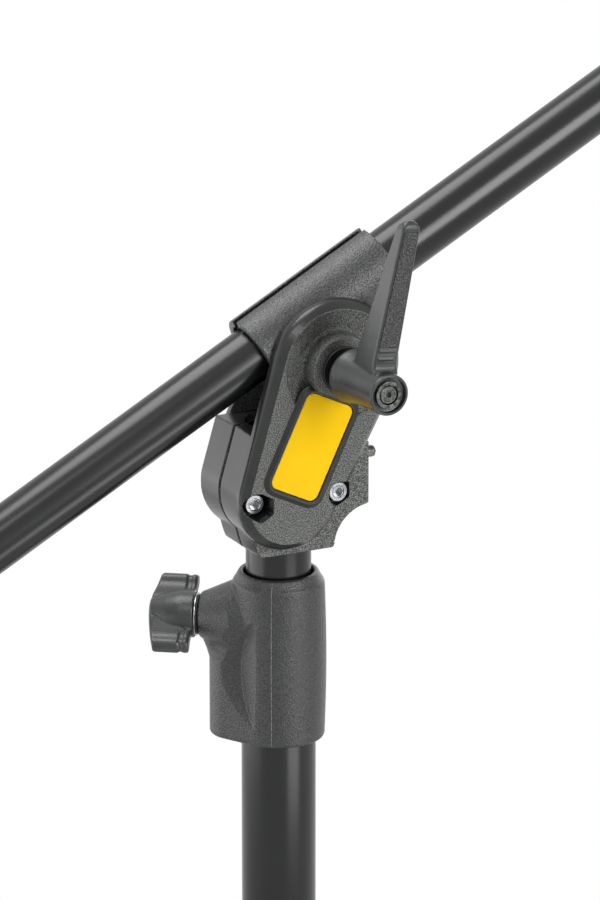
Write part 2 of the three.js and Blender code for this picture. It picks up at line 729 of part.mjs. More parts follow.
function lever() {
  const group = new THREE.Group();
  group.position.set(boomOffset, 0, pivotHeight);
  const turning = new THREE.Group();
  turning.rotation.y = radians(leverTurn);
  group.add(turning);

  // Toothed sections of the ratchet nut and of the hub's bore round it
  const toothed = (outer, inner) => new THREE.Shape(Array.from({ length: 2 * toothCount }, (_, i) => {
    const angle = (Math.PI * i) / toothCount;
    const radius = i % 2 ? inner : outer;
    return new THREE.Vector2(radius * Math.cos(angle), radius * Math.sin(angle));
  }));
  const nutBack = hubBossDepth + gap + thrustThickness + gap;
  const nut = turnedForward([
    [0, nutBack],
    [nutCollarRadius, nutBack],
    [nutCollarRadius, hubBack - leverTravel / 2],
    [nutBossRadius, hubBack],
    [nutBossRadius, nutFront],
    [0, nutFront],
  ])
    .add(slab(toothed(nutToothRadius, nutToothRadius - toothDepth), nutBack, toothFront))
    .subtract(turnedForward(disc(boltRadius + gap, nutBack - overrun, boltReach + gap), smallSides))
    .subtract(turnedForward(disc(retainerRadius + gap, boltReach, nutFront + overrun), smallSides));

  const cupBack = hubFront - hubRecess - cupThickness;
  const hub = turnedForward([
    [0, hubBack],
    [hubBaseRadius - gap, hubBack],
    [hubBaseRadius, hubBack + gap],
    [(hubBaseRadius + hubNeckRadius) / 2 - gap, (2 * hubBack + hubFront) / 3],
    [hubNeckRadius, (hubBack + hubFront) / 2],
    [hubEndRadius, hubFront - gap],
    [hubEndRadius - gap, hubFront],
    [0, hubFront],
  ], tubeSides);
  // The arm: rounded rectangles from the hub up to the tip
  const section = (share, shrink) => {
    const width = rootWidth + (tipWidth - rootWidth) * share - 2 * shrink;
    const back = rootBack + (tipBack - rootBack) * share + shrink;
    const front = rootFront + (tipFront - rootFront) * share - shrink;
    const height = leverRoot + (leverReach - leverRoot) * share;
    return roundedPoints(width, front - back, leverCorner)
      .map((p) => new THREE.Vector3(p.x, -(back + front) / 2 + p.y, height));
  };
  const tipShare = tipWidth / 2 / leverReach;
  const arm = loft([
    section(0, 0),
    section(1 - tipShare, 0),
    section(1 - tipShare * 0.6, leverCorner * 0.25),
    section(1 - tipShare * 0.25, leverCorner * 0.6),
    section(1, leverCorner),
  ]);
  const bore = slab(toothed(nutToothRadius + gap, nutToothRadius - toothDepth + gap),
    hubBack - overrun, toothFront + gap)
    .add(turnedForward(disc(nutBossRadius + gap, hubBack, springSeat)))
    .add(turnedForward(disc(retainerRadius + 2 * gap, springSeat - gap, hubFront), smallSides))
    .add(turnedForward(disc(springChamberRadius, springSeat + 2 * gap, hubFront), roundSides))
    .add(turnedForward(disc(hubRecessRadius, hubFront - hubRecess, hubFront + overrun), roundSides));
  const screw = turnedForward([
    [0, nutFront - 2 * retainerRadius],
    [retainerRadius, nutFront - 2 * retainerRadius],
    [retainerRadius, cupBack],
    [retainerHeadRadius, cupBack + cupThickness + gap],
    [retainerHeadRadius, hubFront - gap],
    [0, hubFront - gap],
  ], smallSides).subtract(slab(new THREE.Shape(hexagon(2 * retainerSocket)),
    hubFront - retainerHeadHeight / 2, hubFront + overrun));
  const cup = turnedForward([
    [retainerRadius + gap, cupBack - cupThickness],
    [cupRadius, cupBack - cupThickness],
    [cupRadius, hubFront - gap],
    [retainerHeadRadius + gap, hubFront - gap],
    [retainerHeadRadius + gap, cupBack - gap],
    [retainerRadius + gap, cupBack - gap],
  ], roundSides);
  const springGeometry = coil(leverSpringRadius, leverSpringWire, leverSpringTurns,
    springSeat + 3 * gap + leverSpringWire, cupBack - cupThickness - gap - leverSpringWire);
  group.add(
    piece('thrust_washer', turnedForward(ring(boltRadius + gap, thrustRadius, hubBossDepth + gap,
      hubBossDepth + gap + thrustThickness)), darkSteel),
    piece('lever_retaining_screw', screw, darkSteel),
    piece('lever_spring_cup', cup, darkSteel),
    piece('lever_spring', solid(springGeometry.rotateX(Math.PI / 2)), zinc),
  );
  turning.add(
    piece('ratchet_nut', nut, darkSteel),
    piece('clamp_lever', hub.add(arm).subtract(bore), mouldedGrey),
  );
  return group;
}

// The sleeve, drawn with the boom along +X and the pivot at the origin
function sleeve() {
  const group = new THREE.Group();
  const tube = turnedAlong([
    [0, -sleeveTail],
    [sleeveRadius - gap, -sleeveTail],
    [sleeveRadius, gap - sleeveTail],
    [sleeveRadius, sleeveHead - gap],
    [sleeveRadius - gap, sleeveHead],
    [0, sleeveHead],
  ], tubeSides).translate(0, 0, boomOffset);
  const ears = slab(new THREE.Shape(beltPoints([0, 0, earRadius], [0, boomOffset, earRadius], smallSides)),
    -earHalfWidth, earHalfWidth);
  const whole = tube.add(ears)
    .subtract(turnedAlong(disc(sleeveRadius - sleeveWall, -sleeveTail - overrun, sleeveHead + overrun), tubeSides)
      .translate(0, 0, boomOffset))
    .subtract(turnedForward(disc(boltRadius + gap, -earHalfWidth - overrun, earHalfWidth + overrun), smallSides));
  const reach = 2 * (sleeveHead + sleeveTail);
  const halfGap = sleeveGap / 2;
  const liner = turnedAlong(ring(boomRadius + gap, boomRadius + gap + linerWall, linerInset - sleeveTail,
    sleeveHead - linerInset), tubeSides).translate(0, 0, boomOffset);
  group.add(
    piece('sleeve_front', whole.subtract(box([-reach, -halfGap, -reach], [reach, reach, reach])), sleeveGrey),
    piece('sleeve_back', whole.subtract(box([-reach, -reach, -reach], [reach, halfGap, reach])), sleeveGrey),
    piece('sleeve_liner', liner, blackNylon),
  );
  [['front', 1], ['back', -1]].forEach(([name, side]) => {
    const low = side > 0 ? earHalfWidth + gap : -earHalfWidth - gap - frictionThickness;
    group.add(piece(`friction_washer_${name}`, turnedForward(ring(boltRadius + gap, frictionRadius, low,
      low + frictionThickness)), blackNylon));
  });
  return group;
}

function boom() {
  const group = new THREE.Group();
  group.position.z = boomOffset;
  const inner = boomRadius - boomWall;
  const tube = turnedAlong(ring(inner, boomRadius, -boomTail, boomHead), tubeSides);
  group.add(piece('boom_tube', tube, tubeBlack));

  // Tail plug with the eye that a counterweight hangs from
  const plugEnd = -boomTail - gap - tailPlugFlange;
  const plug = turnedAlong([
    [0, plugEnd],
    [boomRadius - tailPlugFlange / 2, plugEnd],
    [boomRadius, plugEnd + tailPlugFlange / 2],
    [boomRadius, -boomTail - gap],
    [inner - gap, -boomTail - gap],
    [inner - gap, -boomTail + tailPlugLength],
    [0, -boomTail + tailPlugLength],
  ]).subtract(turnedAlong(disc(weightEyeShank + gap, plugEnd - overrun, -boomTail + tailPlugLength + overrun),
    smallSides));
  const eyeMiddle = plugEnd - 2 * gap - weightEyeWire - weightEyeRadius;
  const eyeRing = new THREE.TorusGeometry(weightEyeRadius, weightEyeWire, smallSides, roundSides)
    .rotateX(Math.PI / 2).translate(eyeMiddle, 0, 0);
  const eyeShank = turnedAlong([
    [0, eyeMiddle + weightEyeRadius],
    [weightEyeSeat - gap, eyeMiddle + weightEyeRadius],
    [weightEyeSeat, plugEnd - gap],
    [weightEyeShank, plugEnd - gap],
    [weightEyeShank, -boomTail + tailPlugLength],
    [0, -boomTail + tailPlugLength],
  ], smallSides);
  group.add(
    piece('tail_plug', plug, mouldedGrey),
    piece('weight_eye', solid(eyeRing).add(eyeShank), zinc),
  );

  // Collar that holds the extension
  const collarGroup = new THREE.Group();
  collarGroup.position.x = boomHead - boomCollarOnTube;
  const collarFrame = new THREE.Group();
  collarFrame.matrixAutoUpdate = false;
  collarFrame.matrix.makeBasis(new THREE.Vector3(0, -1, 0), new THREE.Vector3(0, 0, -1), new THREE.Vector3(1, 0, 0));
  const boomFit = [boomCollarScale, boomRadius, extensionRadius, boomCollarOnTube];
  collarFrame.add(
    piece('boom_collar', clampCollar(...boomFit), mouldedGrey),
    piece('boom_guide_bush', guideBush(...boomFit), blackNylon),
  );
  const knob = wingKnob('boom_knob', boomCollarScale, extensionRadius);
  knob.position.z = (collarLength - knobDrop) * boomCollarScale;
  collarFrame.add(knob);
  collarGroup.add(collarFrame);
  group.add(collarGroup);

  // Extension tube with its spigot
  const collarEnd = boomHead - boomCollarOnTube + collarLength * boomCollarScale;
  const extensionHead = collarEnd + extensionShow;
  const extensionTail = extensionHead - extensionLength;
  const bore = extensionRadius - extensionWall;
  group.add(
    piece('extension_tube', turnedAlong(ring(bore, extensionRadius, extensionTail, extensionHead), tubeSides),
      tubeBlack),
    piece('extension_foot_bush', footBush(bore, inner).rotate([0, 90, 0]).translate(extensionTail, 0, 0), blackNylon),
  );
  const plugFace = extensionHead + gap;
  const endPlug = turnedAlong([
    [spigotBore, extensionHead - endPlugLength],
    [bore - gap, extensionHead - endPlugLength],
    [bore - gap, plugFace],
    [extensionRadius, plugFace],
    [extensionRadius, plugFace + endPlugFlange - gap],
    [extensionRadius - gap, plugFace + endPlugFlange],
    [spigotBore, plugFace + endPlugFlange],
  ]);
  const spigotFoot = plugFace + endPlugFlange + gap;
  const groove = spigotFoot + spigotLength / 2;
  const spigot = turnedAlong([
    [0, spigotFoot - endPlugFlange - endPlugLength / 2],
    [spigotBore - gap, spigotFoot - endPlugFlange - endPlugLength / 2],
    [spigotBore - gap, spigotFoot],
    [spigotCollarRadius, spigotFoot],
    [spigotCollarRadius, spigotFoot + endPlugFlange / 2],
    [spigotRadius, spigotFoot + endPlugFlange / 2],
    [spigotRadius, groove - spigotGroove / 2 - (spigotRadius - spigotGrooveRadius)],
    [spigotGrooveRadius, groove - spigotGroove / 2],
    [spigotGrooveRadius, groove + spigotGroove / 2],
    [spigotRadius, groove + spigotGroove / 2 + (spigotRadius - spigotGrooveRadius)],
    [spigotRadius, spigotFoot + spigotLength - 2 * gap],
    [spigotRadius - 2 * gap, spigotFoot + spigotLength],
    [0, spigotFoot + spigotLength],
  ]);
  group.add(piece('extension_end_plug', endPlug, mouldedGrey), piece('end_spigot', spigot, zinc));
  return group;
}

function column() {
  const group = new THREE.Group();
  const inner = columnRadius - columnWall;
  const columnTop = columnShow + columnInCollar;
  const columnFit = [1, columnRadius, riserRadius, columnInCollar];
  const collar = new THREE.Group();
  collar.add(
    piece('collar', clampCollar(...columnFit), mouldedGrey),
    piece('column_guide_bush', guideBush(...columnFit), blackNylon),
  );
  collar.position.z = columnShow;
  collar.rotation.z = radians(knobTurn);
  const knob = wingKnob('wing_knob', 1, riserRadius);
  knob.position.z = knobHeight;
  knob.rotation.z = radians(knobTurn);
  group.add(
    piece('column_tube', turned(ring(inner, columnRadius, 0, columnTop), tubeSides), tubeBlack),
    collar,
    knob,
  );
  return group;
}

function riser() {
  const group = new THREE.Group();
  const inner = riserRadius - riserWall;
  const pinHole = turnedAlong(disc(pinRadius + gap, 0, riserDiameter), smallSides)
    .translate(0, 0, pivotHeight - pinDown);
  group.add(
    piece('riser_tube', turned(ring(inner, riserRadius, riserFoot, riserTop), tubeSides).subtract(pinHole), tubeBlack),
    piece('riser_foot_bush', footBush(inner, columnRadius - columnWall).translate(0, 0, riserFoot), blackNylon),
  );
  return group;
}

const arm = new THREE.Group();
arm.position.set(boomOffset, 0, pivotHeight);
arm.rotation.y = -radians(boomTilt);
arm.add(sleeve(), boom());

const overheadBoomArm = new THREE.Group();
overheadBoomArm.add(column(), riser(), head(), lever(), arm);

export default overheadBoomArm;
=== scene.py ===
"""Overhead boom arm: the looks of the head, lever, sleeve, collars, knobs and tubes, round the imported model.

The frame is the part's own: +Z up along the column, -Y towards the lever, +X towards the boom's head.
Shapes are drawn in millimetres and set into the frame, which is in metres, as each piece is made.
"""

import json
import math

import bmesh
import bpy
from mathutils import Matrix, Vector, noise


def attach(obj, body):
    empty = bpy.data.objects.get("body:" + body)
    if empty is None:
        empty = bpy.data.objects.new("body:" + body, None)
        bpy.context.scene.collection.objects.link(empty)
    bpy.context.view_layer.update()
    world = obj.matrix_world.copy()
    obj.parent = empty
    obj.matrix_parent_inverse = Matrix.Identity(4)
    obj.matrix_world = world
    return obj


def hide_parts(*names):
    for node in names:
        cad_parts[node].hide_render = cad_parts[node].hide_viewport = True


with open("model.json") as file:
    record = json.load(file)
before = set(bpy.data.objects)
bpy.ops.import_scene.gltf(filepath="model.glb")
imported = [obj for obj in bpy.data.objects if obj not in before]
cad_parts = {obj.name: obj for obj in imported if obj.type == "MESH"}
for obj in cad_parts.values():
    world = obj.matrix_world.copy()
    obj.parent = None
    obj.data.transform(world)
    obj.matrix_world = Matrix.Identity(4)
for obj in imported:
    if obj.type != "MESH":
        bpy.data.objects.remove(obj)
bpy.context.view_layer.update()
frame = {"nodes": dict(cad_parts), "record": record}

MM = 0.001
RECORD = frame["record"]
BODY_OF = {node: body for body, nodes in RECORD["behaviour"]["bodies"].items() for node in nodes}
SLOT_OF = {entry["node"]: entry["material_slot"] for entry in RECORD["subparts"]}

# Sizes and places that the part's source gives too, in millimetres
BOOM_OFFSET = 20.8
PIVOT = Vector((BOOM_OFFSET, 0, 412.2))
BOOM_TILT = math.radians(28.9)
LEVER_TURN = math.radians(5.7)
KNOB_TURN = math.radians(145)
COLUMN_SHOW = 201.1
# Where the boom's axis passes the column's
CROSSING = Vector((0, 0, 424.48))

# Frames that shapes are drawn in: the head's is across, back and up from the pivot's height, the boom's
# has +Z along the boom and +X to the front, and the collar's has +X towards its knob.
HEAD_PLACE = Matrix.Translation((0, 0, PIVOT.z))
PIVOT_PLACE = Matrix.Translation(PIVOT)
LEVER_PLACE = PIVOT_PLACE @ Matrix.Rotation(LEVER_TURN, 4, "Y")
BOOM_PLACE = (
    PIVOT_PLACE @ Matrix.Rotation(-BOOM_TILT, 4, "Y") @ Matrix.Translation((0, 0, BOOM_OFFSET))
    @ Matrix(((0, 0, 1, 0), (-1, 0, 0, 0), (0, -1, 0, 0), (0, 0, 0, 1)))
)
COLLAR_PLACE = Matrix.Translation((0, 0, COLUMN_SHOW)) @ Matrix.Rotation(KNOB_TURN, 4, "Z")
# Turns for what is drawn about +Z: to point at the front, and to point along +X
FORWARD = Matrix.Rotation(math.radians(90), 4, "X")
SIDEWAYS = Matrix.Rotation(math.radians(90), 4, "Y")


def placed(name, data):
    """A new object in the scene."""
    thing = bpy.data.objects.new(name, data)
    bpy.context.scene.collection.objects.link(thing)
    return thing


# Camera, at the photograph's place

CAMERA_TURN = math.radians(26.5)
CAMERA_RISE = math.radians(17.5)
CAMERA_DISTANCE = 2947
CAMERA_LENS = 223.96
AIM_RIGHT = 11.5
AIM_UP = -60.5


def photograph_camera():
    """A long lens that looks at the crossing, with the shift and the distance that fit the photograph."""
    turn, rise = CAMERA_TURN, CAMERA_RISE
    towards = Vector((-math.sin(turn) * math.cos(rise), -math.cos(turn) * math.cos(rise), math.sin(rise)))
    right = Vector((math.cos(turn), -math.sin(turn), 0))
    up = towards.cross(right)
    place = CROSSING + right * AIM_RIGHT + up * AIM_UP + towards * CAMERA_DISTANCE
    camera = placed("photograph_camera", bpy.data.cameras.new("photograph_camera"))
    camera.data.lens = CAMERA_LENS
    camera.data.sensor_width = 36
    camera.data.clip_end = 20
    camera.matrix_world = Matrix.Translation(place * MM) @ Matrix((
        (right.x, up.x, towards.x), (right.y, up.y, towards.y), (right.z, up.z, towards.z))).to_4x4()
    bpy.context.scene.camera = camera


photograph_camera()


# Materials

def linear(code):
    """A hex sRGB colour as the linear colour that a shader takes."""
    channels = [int(code[i:i + 2], 16) / 255 for i in (1, 3, 5)]
    return [c / 12.92 if c <= 0.04045 else ((c + 0.055) / 1.055) ** 2.4 for c in channels] + [1]


def feed(tree, socket, value):
    """Links a socket to another, or sets its value."""
    if isinstance(value, bpy.types.NodeSocket):
        tree.links.new(value, socket)
    else:
        socket.default_value = value


def add_node(tree, kind, settings=None, **links):
    """A node with its settings, and with sockets fed by name."""
    node = tree.nodes.new(kind)
    for name, value in (settings or {}).items():
        setattr(node, name, value)
    for name, value in links.items():
        feed(tree, node.inputs[name.replace("_", " ")], value)
    return node


def worked_out(tree, kind, operation, *values):
    """What a Math or VectorMath node gives, whose sockets are fed in order."""
    node = add_node(tree, f"ShaderNode{kind}", {"operation": operation})
    for socket, value in zip(node.inputs, values):
        feed(tree, socket, value)
    return next(output for output in node.outputs if output.enabled)


def shaded(name, roughness, metallic=0.0, specular=0.5):
    """A new material with its shader, and the place of each point on the object."""
    material = bpy.data.materials.new(name)
    material.use_nodes = True
    tree = material.node_tree
    shader = tree.nodes["Principled BSDF"]
    shader.inputs["Roughness"].default_value = roughness
    shader.inputs["Metallic"].default_value = metallic
    shader.inputs["Specular IOR Level"].default_value = specular
    place = tree.nodes.new("ShaderNodeTexCoord").outputs["Object"]
    return material, tree, shader, place


def patches(tree, place, size, detail=2.0, roughness=0.5):
    """Soft noise whose patches measure a given size in millimetres."""
    return add_node(tree, "ShaderNodeTexNoise", Vector=place, Scale=1 / (size * MM), Detail=detail,
                    Roughness=roughness).outputs["Fac"]


def between(tree, value, low, high, start=0.35, end=0.65):
    """A colour that goes from one to another as a value rises."""
    ramp = add_node(tree, "ShaderNodeValToRGB", Fac=value)
    first, last = ramp.color_ramp.elements
    first.position, first.color = start, linear(low)
    last.position, last.color = end, linear(high)
    return ramp.outputs["Color"]


def relief(tree, shader, value, depth, strength=1.0):
    """Raises the surface by a value, a given depth in millimetres."""
    bump = add_node(tree, "ShaderNodeBump", Height=value, Strength=strength, Distance=depth * MM)
    tree.links.new(bump.outputs["Normal"], shader.inputs["Normal"])


def set_colour(tree, shader, colour):
    tree.links.new(colour, shader.inputs["Base Color"])


def even(name, size, colours, bump=None, **finish):
    """A finish whose colour drifts between two in patches of a size, over a finer relief where one is given.

    A relief is the size of its patches, their detail, its depth and its strength.
    """
    material, tree, shader, place = shaded(name, **finish)
    set_colour(tree, shader, between(tree, patches(tree, place, size), *colours))
    if bump:
        bump_size, detail, depth, strength = bump
        relief(tree, shader, patches(tree, place, bump_size, detail), depth, strength)
    return material


def grained(name, size, detail, colours, depth, strength, **finish):
    """A finish with one grain, of a size, for its colours and its relief."""
    material, tree, shader, place = shaded(name, **finish)
    grain = patches(tree, place, size, detail)
    set_colour(tree, shader, between(tree, grain, *colours))
    relief(tree, shader, grain, depth, strength)
    return material


# Where the castings' mould is textured: faces that look this squarely forwards or back, and the round dish
EDGE_FACING = 0.8
BROAD_FACING = 0.92
DISH_TEXTURE = 31
DISH_FADE = 0.6


def where_textured(tree, place):
    """One on the castings' textured faces, and nought on their smooth edges."""
    normal = tree.nodes.new("ShaderNodeTexCoord").outputs["Normal"]
    across = add_node(tree, "ShaderNodeSeparateXYZ", Vector=normal).outputs["Y"]
    facing = worked_out(tree, "Math", "ABSOLUTE", across)
    broad = add_node(tree, "ShaderNodeMapRange", Value=facing, From_Min=EDGE_FACING, From_Max=BROAD_FACING)
    flat = worked_out(tree, "VectorMath", "MULTIPLY", place, (1, 0, 1))
    reach = worked_out(tree, "VectorMath", "DISTANCE", flat, PIVOT * MM)
    dish = add_node(tree, "ShaderNodeMapRange", Value=reach, From_Min=(DISH_TEXTURE + DISH_FADE) * MM,
                    From_Max=DISH_TEXTURE * MM)
    return worked_out(tree, "Math", "MAXIMUM", broad.outputs["Result"], dish.outputs["Result"])


def powder_coated_casting():
    # Die-cast aluminium under a powder coat: dark grey and smooth on its edges. The broad faces are rougher,
    # with a sparkle of pale grains about half a millimetre wide.
    material, tree, shader, place = shaded("powder_coated_casting", roughness=0.38, specular=0.38)
    mask = where_textured(tree, place)
    grain = patches(tree, place, 0.6, detail=0, roughness=0.5)
    speckled = between(tree, grain, "#2d2f2e", "#787a76", 0.38, 0.64)
    smooth = between(tree, patches(tree, place, 9), "#222423", "#282a28")
    colour = add_node(tree, "ShaderNodeMix", {"data_type": "RGBA"}, Factor=mask)
    tree.links.new(smooth, colour.inputs["A"])
    tree.links.new(speckled, colour.inputs["B"])
    set_colour(tree, shader, colour.outputs[2])
    dullness = add_node(tree, "ShaderNodeMapRange", Value=mask, To_Min=0.25, To_Max=0.37)
    tree.links.new(dullness.outputs["Result"], shader.inputs["Roughness"])
    bump = add_node(tree, "ShaderNodeBump", Height=grain, Strength=mask, Distance=0.6 * MM)
    tree.links.new(bump.outputs["Normal"], shader.inputs["Normal"])
    return material


def smooth_powder_coat():
    # The same coat where the mould is polished, as on the rim round the plate: even, and darker without the
    # pale grains.
    return even("smooth_powder_coat", 5, ("#151616", "#1b1c1b"), (1.6, 2.0, 0.05, 0.5), roughness=0.34,
                specular=0.4)


def powder_coated_sleeve():
    # The sleeve's casting under the same coat: an even texture, darker and glossier than the head's faces.
    material, tree, shader, place = shaded("powder_coated_sleeve", roughness=0.34, specular=0.5)
    grain = patches(tree, place, 0.85, detail=1.0, roughness=0.55)
    set_colour(tree, shader, between(tree, grain, "#1d1f1e", "#484a48", 0.4, 0.62))
    relief(tree, shader, grain, 0.4, strength=0.8)
    return material


def moulded_nylon():
    # Glass-filled nylon from a spark-eroded mould: dark grey with a fine even texture and a dull sheen.
    return grained("moulded_nylon", 0.75, 0.5, ("#1f2120", "#3a3c3a", 0.4, 0.62), 0.4, 0.8, roughness=0.36)


def smooth_nylon():
    # The same nylon from a polished mould, as on the lever and the knobs' wings.
    return even("smooth_nylon", 7, ("#292b2a", "#303231"), (0.8, 1.0, 0.16, 0.7), roughness=0.35)


def painted_highlight_nylon():
    # The thin ridge that a mould leaves where it parts, painted paler than the rest as a painted highlight
    # along it.
    return even("painted_highlight_nylon", 1.5, ("#5c5e5c", "#8b8d8a"), roughness=0.45)


def pebbled_nylon():
    # The lever's front panel: the same nylon with a coarse pebbled grain for the thumb.
    return grained("pebbled_nylon", 0.8, 1.0, ("#131514", "#464846", 0.42, 0.62), 0.6, 1.0, roughness=0.3,
                   specular=0.45)


def black_anodised_tube():
    # Black anodised drawn aluminium: near black, with long clean highlights that a faint unevenness softens.
    return even("black_anodised_tube", 40, ("#0d0e0e", "#121313"), (0.8, 1.0, 0.02, 0.3), roughness=0.25,
                specular=0.4)


def yellow_plate():
    # Yellow vinyl on a thin plate: even and saturated, with little gloss.
    return even("yellow_vinyl_plate", 14, ("#eebf00", "#f0c204"), (6, 2.0, 0.03, 0.4), roughness=0.36,
                specular=0.1)


def bright_zinc():
    # Bright zinc plate on steel: a light cold mirror with faint haze.
    return even("bright_zinc_plate", 3, ("#888b8d", "#b6b9bb"), roughness=0.2, metallic=1.0)


def blackened_steel():
    # Black oxide on turned steel: dark and slightly uneven.
    return even("blackened_steel", 2, ("#3c3e3c", "#757771"), (0.4, 2.0, 0.04, 0.4), roughness=0.3,
                metallic=0.8)


def shade_painted_black_steel():
    # Painted shade: the same black-oxide steel painted nearly black where it sits out of the light, as on the
    # washer behind the lever.
    return even("shade_painted_black_steel", 2, ("#1b1c1b", "#252625"), roughness=0.4, metallic=0.4)


def black_nylon():
    # Unfilled black nylon: soft satin black.
    return even("black_nylon", 10, ("#121313", "#191a1a"), roughness=0.5)


def turned_brass():
    # Free-cutting brass, turned: a warm yellow metal.
    return even("turned_brass", 3, ("#a98a48", "#c2a35a"), roughness=0.3, metallic=1.0)


SLOT_MATERIALS = {
    "cast_grey": powder_coated_casting(),
    "sleeve_grey": powder_coated_sleeve(),
    "moulded_grey": moulded_nylon(),
    "black_tube": black_anodised_tube(),
    "yellow_plate": yellow_plate(),
    "zinc_steel": bright_zinc(),
    "dark_steel": blackened_steel(),
    "black_nylon": black_nylon(),
    "brass": turned_brass(),
}
PEBBLED = pebbled_nylon()
SMOOTH_CAST = smooth_powder_coat()
SMOOTH_NYLON = smooth_nylon()
SHADE_PAINTED_STEEL = shade_painted_black_steel()
PAINTED_HIGHLIGHT_NYLON = painted_highlight_nylon()


def dress_nodes():
    """Gives each node of the part its slot's material. Those that no piece replaces stay visible."""
    for node, slot in SLOT_OF.items():
        frame["nodes"][node].data.materials.clear()
        frame["nodes"][node].data.materials.append(SLOT_MATERIALS[slot])


dress_nodes()


# Shape tools

ROUND = 96  # sides of what is turned
CORNER = 5  # steps on a rounded corner
FAR = 200  # past everything that a cut goes through
FIT = 0.3  # room round what goes into a bore


def rounded(points, radius, closed=True):
    """Rounds the corners of an outline: each is replaced by a short curve."""
    result = []
    count = len(points)
    for i, corner in enumerate(points):
        if not closed and i in (0, count - 1):
            result.append(corner)
            continue
        here = Vector(corner)
        before, after = Vector(points[i - 1]), Vector(points[(i + 1) % count])
        reach = min(radius, (before - here).length * 0.45, (after - here).length * 0.45)
        start = here + (before - here).normalized() * reach
        end = here + (after - here).normalized() * reach
        for step in range(CORNER + 1):
            t = step / CORNER
            result.append(tuple(start * (1 - t) ** 2 + here * 2 * t * (1 - t) + end * t ** 2))
    return result


def arc(centre, radius, start, end, steps):
    """Points on an arc, from one angle in degrees to another."""
    angles = [math.radians(start + (end - start) * i / steps) for i in range(steps + 1)]
    return [(centre[0] + radius * math.cos(a), centre[1] + radius * math.sin(a)) for a in angles]


def belt(first, second, steps=40):
    """Points round two circles, each (across, up, radius), and the straight sides that touch both."""
    (x1, y1, r1), (x2, y2, r2) = first, second
    away = math.degrees(math.atan2(y2 - y1, x2 - x1))
    lean = math.degrees(math.acos((r1 - r2) / math.hypot(x2 - x1, y2 - y1)))
    return (arc((x1, y1), r1, away + lean, away - lean + 360, steps)
            + arc((x2, y2), r2, away - lean, away + lean, steps))


def rectangle(width, height, corner):
    """A rounded rectangle about the origin."""
    x, y = width / 2 - corner, height / 2 - corner
    return (arc((x, y), corner, 0, 90, CORNER) + arc((-x, y), corner, 90, 180, CORNER)
            + arc((-x, -y), corner, 180, 270, CORNER) + arc((x, -y), corner, 270, 360, CORNER))


def hexagon(flats):
    """A hexagon by its width across flats, with a corner to the right."""
    return arc((0, 0), flats / math.sqrt(3), 0, 300, 5)


def moved(points, across, up):
    return [(x + across, y + up) for x, y in points]


def turned(profile, sides=ROUND):
    """A closed body turned about +Z from (radius, height) points."""
    shape = bmesh.new()
    verts = [shape.verts.new((r, 0, z)) for r, z in profile]
    ends = list(zip(verts, verts[1:]))
    if profile[0][0] > 0:
        ends.append((verts[-1], verts[0]))
    edges = [shape.edges.new(pair) for pair in ends]
    bmesh.ops.spin(shape, geom=verts + edges, cent=(0, 0, 0), axis=(0, 0, 1), angle=math.tau, steps=sides,
                   use_merge=True, use_duplicate=False)
    bmesh.ops.remove_doubles(shape, verts=shape.verts, dist=0.001)
    bmesh.ops.recalc_face_normals(shape, faces=shape.faces)
    return shape


def loft(rings):
    """A ring extruded to each of the others in turn, all of equal counts, and closed at both ends."""
    # The rings' order is reversed, which sets the way that a side face folds where it isn't flat
    shape = bmesh.new()
    start = [shape.verts.new(point) for point in reversed(rings[0])]
    end = shape.faces.new(start)
    for ring in rings[1:]:
        end = bmesh.ops.extrude_discrete_faces(shape, faces=[end])["faces"][0]
        for vert, point in zip(end.verts, reversed(ring)):
            vert.co = point
    shape.faces.new(start)
    bmesh.ops.recalc_face_normals(shape, faces=shape.faces)
    return shape


def band(rings):
    """The same with its last ring joined to the first, as round a frame."""
    shape = loft(rings + rings[:1])
    ends = [face for face in shape.faces if len(face.verts) == len(rings[0])]
    bmesh.ops.delete(shape, geom=ends, context="FACES_ONLY")
    bmesh.ops.remove_doubles(shape, verts=shape.verts, dist=0.001)
    bmesh.ops.recalc_face_normals(shape, faces=shape.faces)
    return shape


def upright(outline, depth):
    """An outline in X and Z as a ring, at a depth in front of the middle."""
    return [(x, -depth, z) for x, z in outline]


def level(outline, height):
    """An outline in X and Y as a ring at a height."""
    return [(x, y, height) for x, y in outline]


def slab(outline, low, high):
    """An outline in X and Z, made solid from one depth to another."""
    return loft([upright(outline, low), upright(outline, high)])


def prism(outline, low, high):
    """An outline in X and Y, made solid from one height to another."""
    return loft([level(outline, low), level(outline, high)])


def rod(radius, low, high, sides=ROUND):
    """A plain round body about +Z, as a drill takes away."""
    return turned([(0, low), (radius, low), (radius, high), (0, high)], sides)


def pipe(inner, outer, low, high, edge, sides=ROUND):
    """A plain ring or tube about +Z with its edges broken."""
    return turned(rounded([(inner, low), (outer, low), (outer, high), (inner, high)], edge), sides)


def box(low, high):
    shape = bmesh.new()
    bmesh.ops.create_cube(shape, size=1)
    for vert in shape.verts:
        vert.co = [low[i] if vert.co[i] < 0 else high[i] for i in range(3)]
    return shape


def put(shape, matrix):
    bmesh.ops.transform(shape, matrix=matrix, verts=shape.verts)
    return shape


def mirrored(shape, axis):
    """The shape's other hand, with its faces turned outwards again."""
    put(shape, Matrix.Scale(-1, 4, axis))
    bmesh.ops.reverse_faces(shape, faces=shape.faces)
    return shape


def as_mesh(name, shape):
    mesh = bpy.data.meshes.new(name)
    shape.to_mesh(mesh)
    shape.free()
    return mesh


def holder(shape):
    return placed("working", as_mesh("working", shape))


def dropped(thing):
    mesh = thing.data
    bpy.data.objects.remove(thing)
    bpy.data.meshes.remove(mesh)


def changed(shape, kind, **settings):
    """The shape after one modifier."""
    thing = holder(shape)
    modifier = thing.modifiers.new("change", kind)
    for name, value in settings.items():
        setattr(modifier, name, value)
    result = bmesh.new()
    result.from_object(thing, bpy.context.evaluated_depsgraph_get())
    dropped(thing)
    return result


